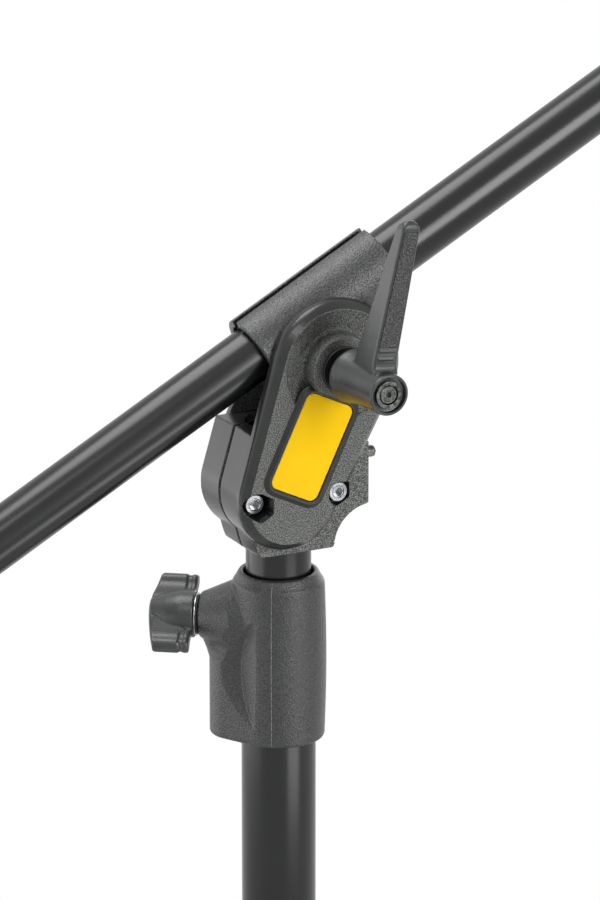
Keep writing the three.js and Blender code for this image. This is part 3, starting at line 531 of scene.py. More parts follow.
def combined(shape, tool, operation):
    other = holder(tool)
    result = changed(shape, "BOOLEAN", object=other, operation=operation, solver="MANIFOLD")
    dropped(other)
    return result


def cut(shape, *tools):
    for tool in tools:
        shape = combined(shape, tool, "DIFFERENCE")
    return shape


def joined(shape, *tools):
    for tool in tools:
        shape = combined(shape, tool, "UNION")
    return shape


def moulded(shape, voxel, softness, keep=1.0):
    """Melts a shape's edges as a mould or a coat of powder leaves them, and keeps a share of its faces."""
    shape = changed(shape, "REMESH", mode="VOXEL", voxel_size=voxel)
    for _ in range(softness):
        bmesh.ops.smooth_vert(shape, verts=shape.verts, factor=0.5, use_axis_x=True, use_axis_y=True,
                              use_axis_z=True)
    return changed(shape, "DECIMATE", ratio=keep) if keep < 1 else shape


def piece(name, node, shape, place, material=None, stands_for=True, sharp=35):
    """A finished object: set in its place, dressed, and riding with its node's body.

    It replaces the node unless stands_for is False. Edges past the angle sharp, in degrees, stay crisp.
    """
    put(shape, Matrix.Scale(MM, 4) @ place)
    mesh = as_mesh(name, shape)
    mesh.shade_smooth()
    mesh.set_sharp_from_angle(angle=math.radians(sharp))
    mesh.materials.append(material or SLOT_MATERIALS[SLOT_OF[node]])
    thing = placed(name, mesh)
    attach(thing, BODY_OF[node])
    if stands_for:
        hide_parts(node)
    return thing


# Tubes

TUBE_SIDES = 128
COLUMN_RADIUS = 20
RISER_RADIUS = 17.5
BOOM_RADIUS = 15
EXTENSION_RADIUS = 12.5
TUBE_WALL = 1.5
EXTENSION_WALL = 1.2
TUBE_EDGE = 0.4


def tube(name, node, radius, wall, low, high, place):
    """A drawn tube with its edges broken."""
    piece(name, node, pipe(radius - wall, radius, low, high, TUBE_EDGE, TUBE_SIDES), place)


COLLAR_LENGTH = 93.4
COLUMN_IN_COLLAR = 44
NECK_DOWN = 102.7
BLOCK_DOWN = 34
RISER_BELOW = 3  # from the head's block down to the riser's end
RISER_TOP = PIVOT.z - BLOCK_DOWN - RISER_BELOW
RISER_LENGTH = 284
BOOM_TAIL = 320
BOOM_HEAD = 600
BOOM_COLLAR_SHARE = 0.74
BOOM_IN_COLLAR = 34
BOOM_COLLAR_FOOT = BOOM_HEAD - BOOM_IN_COLLAR
EXTENSION_SHOW = 46
EXTENSION_HEAD = BOOM_COLLAR_FOOT + COLLAR_LENGTH * BOOM_COLLAR_SHARE + EXTENSION_SHOW
EXTENSION_LENGTH = 540


def tubes():
    standing = Matrix.Identity(4)
    tube("column_tube_drawn", "column_tube", COLUMN_RADIUS, TUBE_WALL, 0, COLUMN_SHOW + COLUMN_IN_COLLAR,
         standing)
    tube("riser_tube_drawn", "riser_tube", RISER_RADIUS, TUBE_WALL, RISER_TOP - RISER_LENGTH, RISER_TOP,
         standing)
    tube("boom_tube_drawn", "boom_tube", BOOM_RADIUS, TUBE_WALL, -BOOM_TAIL, BOOM_HEAD, BOOM_PLACE)
    tube("extension_tube_drawn", "extension_tube", EXTENSION_RADIUS, EXTENSION_WALL,
         EXTENSION_HEAD - EXTENSION_LENGTH, EXTENSION_HEAD, BOOM_PLACE)


tubes()


# Head: two cast halves

# Circles seen from the front, each across, up and its radius
CHEEK = (BOOM_OFFSET + 0.8, -1.7, 37.1)
HEEL = (BOOM_OFFSET - 27.3, -69.1, 29.2)
BACK_EAR = (BOOM_OFFSET, 0, 21)
SCALLOP = (45, -103, 22)  # the hollow between the lobe and the neck

BACK_INSET = 3.5
SPLIT = 0.95  # half of the gap between the halves
CHEEK_INNER = 20.9
SIDE_DEPTH = 25.5
FACE_DEPTH = 30
CHEEK_LIP = [(-1.9, 0), (-0.8, 0.12), (0.1, 0.5), (0.8, 0.95), (1.6, 1.6)]  # past SIDE_DEPTH, and inset
PLATE_DEPTH = 20.6
BLOCK_DRAFT = 0.9
OVERLAP = 0.5  # what joined shapes share
LOBE_REACH = 43.4
LOBE_TOP = -46
LOBE_FOOT = -78.5
NECK_HALF = 23
DISH_RADIUS = 30.9
DISH_VALLEY = 18.6
DISH_DEPTH = 24.8
BOSS_RADIUS = 17.8
BOSS_DEPTH = 36
BORE = RISER_RADIUS + FIT
LABEL_TILT = math.radians(25.5)
LABEL = (4.5, -41.6)
LABEL_SIZE = (29.3, 54.4)
LABEL_CORNER = 4.2
LABEL_FLOOR = 29.2
FRAME_TOP = 31.8
FRAME_BORDER = 2
FRAME_SLOPE = 2.2
FRAME_LIP = 0.35  # from the plate's edge to the frame
PLATE_THICKNESS = 0.5
PLATE_SUNK = 0.8
SCREW_ACROSS = 24.6
SCREW_DOWN = -71.7
SCREW_FACE = 21.8
SCREW_RADIUS = 3
SCREW_HEAD_RADIUS = 5.6
SCREW_HEAD_HEIGHT = 6
SOCKET_FLATS = 5.2
SOCKET_DEPTH = 3.4
POCKET_CORNER = 0.8
POCKET_FLATS = 14
POCKET_FLOOR = 15.8
POCKET_RELIEF = (-2.9, 1.6, 6.6)  # the round clearance for the head, its middle beside the screw's
RELIEF_DEPTH = 0.4
NUT_FLATS = 10
NUT_HEIGHT = 5
NUT_BORE = 3.3
NUT_POCKET_FLATS = 10.6
NUT_POCKET_FLOOR = 15.3
BOLT_RADIUS = 3.9
BOLT_BORE = 4.3
BOLT_END = 58
BOLT_FLATS = 17
BOLT_HEAD_HEIGHT = 6.4
BOLT_POCKET_FLATS = 17.6
BOLT_POCKET_FLOOR = 29.3
PIN_DOWN = -59.3
PIN_RADIUS = 3.2
PIN_COLLAR = 4.6
PIN_START = 16.4
PIN_END = 57.8
PIN_NOSE = 2.6
SHOULDER_RISE = 0.6
SHOULDER_DOWN = 1.3  # from the pin's end to its shoulder
CAST_VOXEL = 0.42
CAST_SOFTNESS = 1
CAST_KEEP = 0.5

ABOUT_PIVOT = Matrix.Translation((BOOM_OFFSET, 0, 0)) @ FORWARD
ABOUT_PIN = Matrix.Translation((0, 0, PIN_DOWN)) @ SIDEWAYS


def inset_belt(first, second, inset):
    """The belt round two circles with both drawn in by an inset."""
    return belt((first[0], first[1], first[2] - inset), (second[0], second[1], second[2] - inset))


def cheek(first, second):
    """The round-ended face of a half, with a soft lip and a chamfer round it."""
    lip = [(SIDE_DEPTH + past, inset) for past, inset in CHEEK_LIP]
    levels = [(CHEEK_INNER, 0)] + lip + [(FACE_DEPTH, FACE_DEPTH - SIDE_DEPTH)]
    return loft([upright(inset_belt(first, second, inset), depth) for depth, inset in levels])


def lower_outline():
    """The lower face: a lobe for the pin on the right, a hollow under it, and the neck round the riser."""
    corner = rounded([(BOOM_OFFSET, LOBE_TOP), (LOBE_REACH, LOBE_TOP), (LOBE_REACH, LOBE_FOOT - 2.5),
                      (LOBE_REACH - 6, LOBE_FOOT - 3)], 1.5, closed=False)
    hollow = arc(SCALLOP[:2], SCALLOP[2], 100, 170, 16)
    neck = rounded([(NECK_HALF + 0.3, -NECK_DOWN + 4.5), (NECK_HALF, -NECK_DOWN),
                    (-NECK_HALF + 2, -NECK_DOWN), (-NECK_HALF, -NECK_DOWN + 5),
                    (-NECK_HALF - 2.5, -NECK_DOWN + 14), (HEEL[0], LOBE_FOOT)], 2, closed=False)
    return corner + hollow + neck + [(0, HEEL[1])]


def label_outline(grow):
    """The plate's outline, grown all round."""
    width, length = LABEL_SIZE
    turn = Matrix.Rotation(-LABEL_TILT, 2)
    points = [turn @ Vector(p) for p in rectangle(width + 2 * grow, length + 2 * grow, LABEL_CORNER + grow)]
    return moved(points, *LABEL)


def pocket(flats, floor, across, up, turn=True):
    """A hexagonal hole with soft corners, its points up and down where it is turned."""
    outline = [(z, x) for x, z in hexagon(flats)] if turn else hexagon(flats)
    return slab(moved(rounded(outline, POCKET_CORNER), across, up), floor, FAR)


def pockets(is_front):
    """The screws' pockets and round clearances in front, and behind those of their nuts and of the bolt."""
    flats, floor = (POCKET_FLATS, POCKET_FLOOR) if is_front else (NUT_POCKET_FLATS, NUT_POCKET_FLOOR)
    tools = []
    for side in (-1, 1):
        tools.append(pocket(flats, floor, side * SCREW_ACROSS, SCREW_DOWN))
        if is_front:
            across, up, radius = POCKET_RELIEF
            clearance = arc((side * SCREW_ACROSS + across, SCREW_DOWN + up), radius, 0, 360, 48)[:-1]
            tools.append(slab(clearance, SCREW_FACE - RELIEF_DEPTH, FAR))
    if not is_front:
        tools.append(pocket(BOLT_POCKET_FLATS, BOLT_POCKET_FLOOR, BOOM_OFFSET, 0, turn=False))
    return tools


def head_half(is_front):
    """One casting, drawn towards the front."""
    first = CHEEK if is_front else BACK_EAR
    second = HEEL if is_front else (HEEL[0], HEEL[1], HEEL[2] - BACK_INSET)
    block = loft([upright(inset_belt(CHEEK, HEEL, inset), depth)
                  for depth, inset in ((SPLIT, BLOCK_DRAFT), (CHEEK_INNER + OVERLAP, 0))])
    block = cut(block, box((-FAR, -FAR, -BLOCK_DOWN), (FAR, FAR, FAR)))
    half = joined(cheek(first, second), block, slab(lower_outline(), SPLIT, PLATE_DEPTH))
    dish = turned([(0, DISH_DEPTH), (DISH_VALLEY, DISH_DEPTH), (DISH_VALLEY + 2.4, DISH_DEPTH + 0.6),
                   (DISH_RADIUS - 1, FACE_DEPTH - 1), (DISH_RADIUS, FACE_DEPTH), (DISH_RADIUS, FAR),
                   (0, FAR)])
    boss = turned([(0, CHEEK_INNER + OVERLAP), (BOSS_RADIUS + 1.6, CHEEK_INNER + OVERLAP),
                   (BOSS_RADIUS + 1.2, DISH_DEPTH + 0.6), (BOSS_RADIUS + 0.5, DISH_DEPTH + 1.6),
                   (BOSS_RADIUS, BOSS_DEPTH - 0.5), (BOSS_RADIUS - 0.5, BOSS_DEPTH), (0, BOSS_DEPTH)])
    half = joined(cut(half, put(dish, ABOUT_PIVOT)), put(boss, ABOUT_PIVOT))
    if is_front:
        half = cut(half, slab(label_outline(FRAME_BORDER), LABEL_FLOOR, FAR))
    return cut(half, *pockets(is_front))


def label_frame():
    """The smooth raised rim round the plate, with its slopes."""
    rim, foot = FRAME_BORDER, FRAME_BORDER + FRAME_SLOPE
    levels = [(LABEL_FLOOR + 0.1, rim - 0.1), (LABEL_FLOOR + 0.6, rim + 0.3), (FACE_DEPTH - 0.5, foot + 0.2),
              (FACE_DEPTH + 0.05, foot + 0.1), (FACE_DEPTH + 0.25, foot - 0.5),
              (FRAME_TOP - 0.35, rim + 0.4), (FRAME_TOP - 0.08, rim + 0.1), (FRAME_TOP, rim - 0.25),
              (FRAME_TOP, 0.75), (FRAME_TOP - 0.08, 0.5), (FRAME_TOP - 0.4, FRAME_LIP),
              (LABEL_FLOOR + 0.1, FRAME_LIP)]
    shape = band([upright(label_outline(grow), depth) for depth, grow in levels])
    piece("label_frame_cast", "bracket_front", shape, HEAD_PLACE, SMOOTH_CAST, stands_for=False, sharp=50)


def castings():
    """Both halves of the head. Their bores are cut after the melting, so they stay crisp."""
    bores = [holder(rod(BORE, -FAR, FAR)),
             holder(put(rod(PIN_RADIUS + FIT, 0, FAR, 32), ABOUT_PIN)),
             holder(put(rod(BOLT_BORE, -FAR, FAR, 32), ABOUT_PIVOT))]
    for name, is_front in (("front", True), ("back", False)):
        half = moulded(head_half(is_front), CAST_VOXEL, CAST_SOFTNESS, CAST_KEEP)
        if not is_front:
            mirrored(half, (0, 1, 0))
        for bore in bores:
            half = changed(half, "BOOLEAN", object=bore, operation="DIFFERENCE", solver="MANIFOLD")
        piece(f"head_{name}_cast", f"bracket_{name}", half, HEAD_PLACE, sharp=60)
    for bore in bores:
        dropped(bore)


castings()
label_frame()


# Head: screws, nuts, plate, bolt and pin

def socket_cap_screw(face):
    """A cap screw drawn towards the front, its head's face at a depth in front of the middle."""
    seat = face - SCREW_HEAD_HEIGHT
    head = SCREW_HEAD_RADIUS
    body = turned([(0, -PLATE_DEPTH), (SCREW_RADIUS - 0.4, -PLATE_DEPTH), (SCREW_RADIUS, -PLATE_DEPTH + 0.4),
                   (SCREW_RADIUS, seat + 0.3), (head - 0.2, seat + 0.3), (head, seat + 0.6),
                   (head, face - 0.9), (head - 0.2, face - 0.35), (head - 0.6, face), (3.5, face),
                   (3.1, face - 0.4), (0, face - 0.4)], 64)
    return cut(body, prism(hexagon(SOCKET_FLATS), face - SOCKET_DEPTH, face + 1))


def hex_nut(low, high, flats, bore):
    """A hexagon with its corners turned off at both faces, and a bore."""
    corner = flats / math.sqrt(3)
    lens = turned([(0, low), (flats / 2 - 0.1, low), (corner + 0.2, low + 0.9), (corner + 0.2, high - 0.9),
                   (flats / 2 - 0.1, high), (0, high)])
    body = combined(prism(hexagon(flats), low, high), lens, "INTERSECT")
    return cut(body, rod(bore, low - 1, high + 1, 48)) if bore else body


def index_pin():
    """The spring pin about +Z: a collar for its spring, and a round nose behind a small shoulder."""
    round_end = arc((PIN_END - PIN_NOSE, 0), PIN_NOSE, 90, 0, 10)
    shoulder = [(y + SHOULDER_RISE, x) for x, y in round_end if PIN_END - x > SHOULDER_DOWN]
    nose = [(y, x) for x, y in round_end[:-1] if PIN_END - x <= SHOULDER_DOWN]
    return turned([(0, PIN_START), (PIN_RADIUS - 0.3, PIN_START), (PIN_RADIUS, PIN_START + 0.3),
                   (PIN_RADIUS, 26), (PIN_COLLAR - 0.2, 26), (PIN_COLLAR, 26.2), (PIN_COLLAR, 27.8),
                   (PIN_COLLAR - 0.2, 28), (PIN_RADIUS, 28), (PIN_RADIUS, 53.6)]
                  + shoulder + nose + [(0, PIN_END)], 64)


def head_hardware():
    for name, side in (("left", -1), ("right", 1)):
        place = HEAD_PLACE @ Matrix.Translation((side * SCREW_ACROSS, 0, SCREW_DOWN)) @ FORWARD
        piece(f"cap_screw_{name}", f"clamp_screw_{name}", socket_cap_screw(SCREW_FACE), place)
        nut = hex_nut(-PLATE_DEPTH, -PLATE_DEPTH + NUT_HEIGHT, NUT_FLATS, NUT_BORE)
        piece(f"hexagon_nut_{name}", f"clamp_nut_{name}", nut, place, sharp=20)
    face = FRAME_TOP - PLATE_SUNK
    levels = [(face - PLATE_THICKNESS, 0), (face - 0.12, 0), (face - 0.02, -0.12), (face, -0.3)]
    plate = loft([upright(label_outline(grow), depth) for depth, grow in levels])
    piece("bare_plate", "label_plate", plate, HEAD_PLACE)
    shank = turned([(0, -BOSS_DEPTH + 2), (BOLT_RADIUS, -BOSS_DEPTH + 2), (BOLT_RADIUS, BOLT_END - 0.6),
                    (BOLT_RADIUS - 0.5, BOLT_END), (0, BOLT_END)], 48)
    bolt = joined(hex_nut(-BOSS_DEPTH, -BOSS_DEPTH + BOLT_HEAD_HEIGHT, BOLT_FLATS, 0), shank)
    piece("pivot_bolt_turned", "pivot_bolt", bolt, PIVOT_PLACE @ FORWARD, sharp=20)
    piece("index_pin_turned", "index_pin", index_pin(), HEAD_PLACE @ ABOUT_PIN)


head_hardware()


# Lever with its ratchet

HUB_BACK = 47
HUB_FRONT = 87.5
HUB_SIDE = [(14.2, HUB_BACK), (14.8, 47.4), (14.7, 49), (13.9, 52), (13.1, 56), (12.4, 61), (12, 66),
            (11.6, 71), (11.25, 76), (11.1, 80), (11.1, 86.7), (10.7, HUB_FRONT)]
RECESS_SIDE = [(7.9, 84.9), (7.9, 84.6), (9.3, 84.9), (9.5, HUB_FRONT - 0.3), (9.8, FAR)]
CUP_BORE = 7.4
CUP_SEAT = 70.6
CUP_MOUTH = 86
SHANK_BORE = 3.5
NUT_SPACE = 9.2
NUT_SPACE_TOP = 51.9
NECK_SPACE = 6.7
NECK_LOW = 40
NECK_HIGH = 70
LEVER_LENGTH = 93.8
ARM_FOOT = 4
# Up the arm's foot, where it melts into the hub: height, how much narrower and how much farther forward
ARM_FOOT_LEVELS = [(ARM_FOOT, 0, 3), (10.5, 0, 3), (11.8, 0, 1.7), (13, 0, 0.9), (15, 0, 0.3), (18, 0, 0)]
SOFT_CORNER = 1.9
CRISP_CORNER = 1.0
LEDGES = [(10.4, 22), (9.6, 17.6)]  # each ledge's width and height
LEDGE_LEVELS = [(-3, 0), (0.35, 0), (0.6, 0.4)]  # past the arm's front, and how much thinner
LEDGE_THICKNESS = 1.2
LEVER_VOXEL = 0.36
TIP_DOME = 5.2
GRIP_FOOT = 24
GRIP_TOP = LEVER_LENGTH - TIP_DOME - 0.6
GRIP_MARGIN = 1.25
GRIP_DEPTH = 0.45
GRIP_GAP = 0.25
GRIP_RISE = 0.12
PEBBLE_HEIGHT = 0.2
PEBBLE = 0.75
FINE_PEBBLE = 0.4


def arm_section(height):
    """The arm's width and the depths of its back and its front at a height above the pivot."""
    share = (height - ARM_FOOT) / (LEVER_LENGTH - ARM_FOOT)
    return 14.6 - 4.4 * share, 55.5 + 33 * share, 78 + 17.4 * share


def arm_ring(height, shrink=0.0, flare=0.0):
    """A section of the arm, its front corners rounder than its back ones."""
    width, back, front = arm_section(height)
    half = width / 2 - shrink
    back, front = back + shrink, front - shrink + flare
    soft, crisp = min(SOFT_CORNER, half * 0.7), min(CRISP_CORNER, half * 0.5)
    outline = (arc((half - soft, front - soft), soft, 0, 90, 6)
               + arc((-half + soft, front - soft), soft, 90, 180, 6)
               + arc((-half + crisp, back + crisp), crisp, 180, 270, 6)
               + arc((half - crisp, back + crisp), crisp, 270, 360, 6))
    return [(x, -depth, height) for x, depth in outline]


def lever_arm():
    """The tapered arm, from inside the hub up to its domed tip."""
    rings = [arm_ring(*foot) for foot in ARM_FOOT_LEVELS]
    rings += [arm_ring(height) for height in range(26, 88, 8)]
    rings += [arm_ring(LEVER_LENGTH - TIP_DOME * (1 - math.sin(a)), TIP_DOME * 0.86 * (1 - math.cos(a)))
              for a in (math.radians(degrees) for degrees in range(0, 90, 8))]
    return loft(rings)


def ledge(width, height):
    """A small step across the arm's front, under the thumb panel."""
    front = arm_section(height)[2]
    return loft([upright(moved(rectangle(width, LEDGE_THICKNESS - thinner, 0.3), 0, height), front + past)
                 for past, thinner in LEDGE_LEVELS])


def grip_outline(height):
    """A section of the shallow recess that the thumb panel lies in."""
    width, _, front = arm_section(height)
    half = width / 2 - GRIP_MARGIN
    return [(-half, -front - 4, height), (half, -front - 4, height), (half, -front + GRIP_DEPTH, height),
            (-half, -front + GRIP_DEPTH, height)]


def clamp_lever():
    """The lever's moulding: hub and arm melted together, with the recesses cut crisp."""
    hub = put(turned([(0, HUB_BACK)] + HUB_SIDE + [(0, HUB_FRONT)]), FORWARD)
    ledges = [ledge(width, height) for width, height in LEDGES]
    body = moulded(joined(hub, lever_arm(), *ledges), LEVER_VOXEL, 2)
    recess = loft([grip_outline(height) for height in (GRIP_FOOT, GRIP_TOP)])
    bores = [
        turned([(0, RECESS_SIDE[0][1])] + RECESS_SIDE + [(0, FAR)]),
        rod(CUP_BORE, CUP_SEAT, CUP_MOUTH),
        rod(SHANK_BORE, 0, FAR, 32),
        rod(NUT_SPACE, 0, NUT_SPACE_TOP),
        rod(NECK_SPACE, NECK_LOW, NECK_HIGH, 64),
    ]
    body = cut(body, recess, *[put(bore, FORWARD) for bore in bores])
    piece("lever_moulding", "clamp_lever", body, LEVER_PLACE, SMOOTH_NYLON, sharp=50)


def grip_panel():
    """The thumb panel in the arm's front face, a fine grid raised and sunk by two sizes of pebbles."""
    shape = bmesh.new()
    bmesh.ops.create_grid(shape, x_segments=44, y_segments=240, size=0.5)
    for vert in shape.verts:
        across, along = vert.co.x + 0.5, vert.co.y + 0.5
        height = GRIP_FOOT + GRIP_GAP + (GRIP_TOP - GRIP_FOOT - 2 * GRIP_GAP) * along
        width, _, front = arm_section(height)
        rim = min(across, 1 - across, along * 8, (1 - along) * 8, 0.08) / 0.08
        place = Vector(((across - 0.5) * (width - 2 * GRIP_MARGIN - 2 * GRIP_GAP), 0, height))
        grain = noise.noise(place / PEBBLE) + 0.5 * noise.noise(place / FINE_PEBBLE)
        vert.co = place + Vector((0, -front - rim * (GRIP_RISE + PEBBLE_HEIGHT * grain), 0))
    bmesh.ops.recalc_face_normals(shape, faces=shape.faces)
    if sum(face.normal.y for face in shape.faces) > 0:
        bmesh.ops.reverse_faces(shape, faces=shape.faces)
    bmesh.ops.solidify(shape, geom=shape.faces[:], thickness=GRIP_DEPTH - 0.1)
    bmesh.ops.recalc_face_normals(shape, faces=shape.faces)
    piece("lever_grip_panel", "clamp_lever", shape, LEVER_PLACE, PEBBLED, stands_for=False, sharp=70)


TEETH = 20
TOOTH_TIP = 8.9
TOOTH_ROOT = 7.8
TEETH_LOW = 38.9
TEETH_HIGH = 51.6


def ratchet_nut():
    """The toothed nut under the lever's hub, on the pivot bolt."""
    points = [((TOOTH_ROOT if i % 2 else TOOTH_TIP), math.pi * i / TEETH) for i in range(2 * TEETH)]
    teeth = [(radius * math.cos(angle), radius * math.sin(angle)) for radius, angle in points]
    body = turned([(0, 38.6), (9.2, 38.6), (9.6, 39), (9.6, 44.3), (6.4, 47), (6.4, 65.6), (6, 66), (0, 66)])
    body = joined(body, prism(teeth, TEETH_LOW, TEETH_HIGH))
    return cut(body, turned([(0, 30), (4.2, 30), (4.2, 58.3), (3.2, 58.3), (3.2, 70), (0, 70)], 48))


def lever_hardware():
    place = PIVOT_PLACE @ FORWARD
    # The thrust washer and the ratchet nut take the nearly black steel: painted shade behind the lever's hub.
    piece("thrust_washer_turned", "thrust_washer", pipe(4.2, 13, 36.3, 38.3, 0.4), place, SHADE_PAINTED_STEEL)
    cup = rounded([(3.2, 82.5), (6.9, 82.5), (6.9, 85.3), (CUP_BORE - 0.15, 85.3), (CUP_BORE - 0.15, 87),
                   (5.4, 87), (5.4, 83.4), (3.2, 83.4)], 0.25)
    piece("spring_cup_turned", "lever_spring_cup", turned(cup), place)
    screw = turned([(0, 60.2), (2.9, 60.2), (2.9, 83.7), (4.7, 85.2), (4.7, 86.3), (4.4, 86.6), (3.7, 86.6),
                    (3.4, 86.1), (2.6, 86.1), (2.3, 86.4), (0, 86.4)], 64)
    screw = cut(screw, prism(hexagon(3), 84.4, 88))
    piece("retaining_screw_turned", "lever_retaining_screw", screw, place)
    piece("ratchet_nut_cut", "ratchet_nut", ratchet_nut(), LEVER_PLACE @ FORWARD, SHADE_PAINTED_STEEL)


clamp_lever()
grip_panel()
lever_hardware()


# Sleeve round the boom, in two halves

SLEEVE_RADIUS = 20.8
SLEEVE_BORE = 16.8
SLEEVE_TAIL = 29.2
SLEEVE_HEAD = 56.8
SLEEVE_GAP = 2.8
SLEEVE_TOP_EDGE = 0.4  # the front half's edge over the boom
SLEEVE_BACK_EDGE = 4.8
SLEEVE_VOXEL = 0.45
EAR_RADIUS = 17.5
EAR_DEPTH = 18.9
EAR_BORE = 4.2
LINER_BORE = 15.3
LINER_RADIUS = 16.5
LINER_SHORT = 2.4  # from each end of the sleeve to the liner's


def sleeve_half(side):
    """One half, drawn along the boom: +X is the front and -Y is over the boom."""
    about_ear = Matrix.Translation((0, BOOM_OFFSET, 0)) @ SIDEWAYS
    ear = put(rod(EAR_RADIUS, 0, EAR_DEPTH), about_ear)
    web = box((0, 0, -EAR_RADIUS), (EAR_DEPTH, BOOM_OFFSET, EAR_RADIUS))
    half = joined(rod(SLEEVE_RADIUS, -SLEEVE_TAIL, SLEEVE_HEAD), ear, web)
    half = cut(half, rod(SLEEVE_BORE, -FAR, FAR), box((-FAR, 0, -FAR), (SLEEVE_GAP / 2, FAR, FAR)),
               box((-FAR, -FAR, -FAR), (SLEEVE_TOP_EDGE if side > 0 else SLEEVE_BACK_EDGE, 1, FAR)))
    half = cut(moulded(half, SLEEVE_VOXEL, 1), put(rod(EAR_BORE, -FAR, FAR, 32), about_ear))
    return half if side > 0 else mirrored(half, (1, 0, 0))


def sleeve():
    for name, side in (("front", 1), ("back", -1)):
        piece(f"sleeve_{name}_cast", f"sleeve_{name}", sleeve_half(side), BOOM_PLACE, sharp=50)
    low, high = LINER_SHORT - SLEEVE_TAIL, SLEEVE_HEAD - LINER_SHORT
    piece("sleeve_liner_turned", "sleeve_liner", pipe(LINER_BORE, LINER_RADIUS, low, high, 0.2), BOOM_PLACE)


sleeve()


# Collars: the column's, and a smaller one on the boom

# The column's own sizes, which the boom's collar and knob have a share of
COLLAR_RADIUS = 24.8
MOUTH_RADIUS = 18.9
BARREL_SWELL = 0.9
KNOB_DROP = 27.6
NOSE_REACH = 37.4
NOSE_TIP = 15.5
# Up the nose: height, reach, radius of its tip and inset
NOSE_LEVELS = [(0, NOSE_REACH - 1.4, NOSE_TIP, 1.4), (0.5, NOSE_REACH - 0.4, NOSE_TIP, 0.4),
               (1.6, NOSE_REACH, NOSE_TIP, 0), (43.4, NOSE_REACH, NOSE_TIP, 0), (48.4, 39, 13.2, 0),
               (53.5, 41.2, 11, 0), (65.8, 41.2, 11, 0.9), (85.4, 26, NOSE_TIP, 0.9)]
BOSS_REACH = 42.4
BOSS_SIDE = [(20.5, 12), (20.3, 24), (12.9, 40.4), (12.2, 41.7), (11, BOSS_REACH)]
BOSS_END = 12.3
BUSH_DROP = KNOB_DROP + BOSS_END
SCOOP_RADIUS = 54
SCOOP_OUT = 13.8  # from the axis to the scoop's wall
SCOOP_FLOOR = (17.9, 14)
SCOOP_SLOPE = math.atan2(1, 1.1)
SCOOP_DROP = 53.6
INSERT_RADIUS = 6.5
INSERT_LENGTH = 10
PAD_RADIUS = 5.4
PAD_REACH = 7
STUD_RADIUS = 3.9
STUD_END = 59.1
COLLAR_VOXEL = 0.56
SMALL_COLLAR_VOXEL = 0.5
PARTING_HALF = 0.16  # half the width of the parting line, and its height over the barrel
WING_TURN = math.radians(54)
WING_REACH = 24.6
WASHER_RADIUS = 11.8
WASHER_THICKNESS = 1.6
RING_RADIUS = 10.9


def scaler(share):
    """Turns a size of the column's collar or knob into that of another."""
    return lambda value: value * share


def thumb_scoop(side, share, height):
    """A hollow pressed out beside the nose, with a round wall and a floor that slants up to the barrel."""
    middle = SCOOP_RADIUS + SCOOP_OUT
    wall = put(rod(SCOOP_RADIUS, 0, 60, 192), Matrix.Translation((0, middle, 0)) @ SIDEWAYS)
    floor = box((-FAR, -FAR, -FAR), (0, FAR, FAR))
    put(floor, Matrix.Translation((*SCOOP_FLOOR, 0)) @ Matrix.Rotation(SCOOP_SLOPE, 4, "Z"))
    shape = cut(wall, floor)
    if side < 0:
        mirrored(shape, (0, 1, 0))
    return put(shape, Matrix.Translation((0, 0, height)) @ Matrix.Scale(share, 4))


def barrel_profile(size, radius, mouth, top, grow):
    """The barrel's side and its shoulder up to the mouth, grown sideways."""
    steps = [i / 12 for i in range(13)]
    swell = [(radius + grow + size(BARREL_SWELL) * math.sin(math.pi * t), size(1.6) + (top - size(9)) * t)
             for t in steps]
    return ([(0, 0), (radius - size(1.6), 0), (radius - size(0.5) + grow, size(0.5))] + swell
            + [(radius - size(0.15) + grow, top - size(6.2)), (radius - size(0.6) + grow, top - size(5.3)),
               (radius - size(1.3) + grow, top - size(4.5)), (mouth + size(2.7), top - size(0.9)),
               (mouth + size(2.2), top - size(0.25)), (mouth + size(1.5), top), (0, top)])


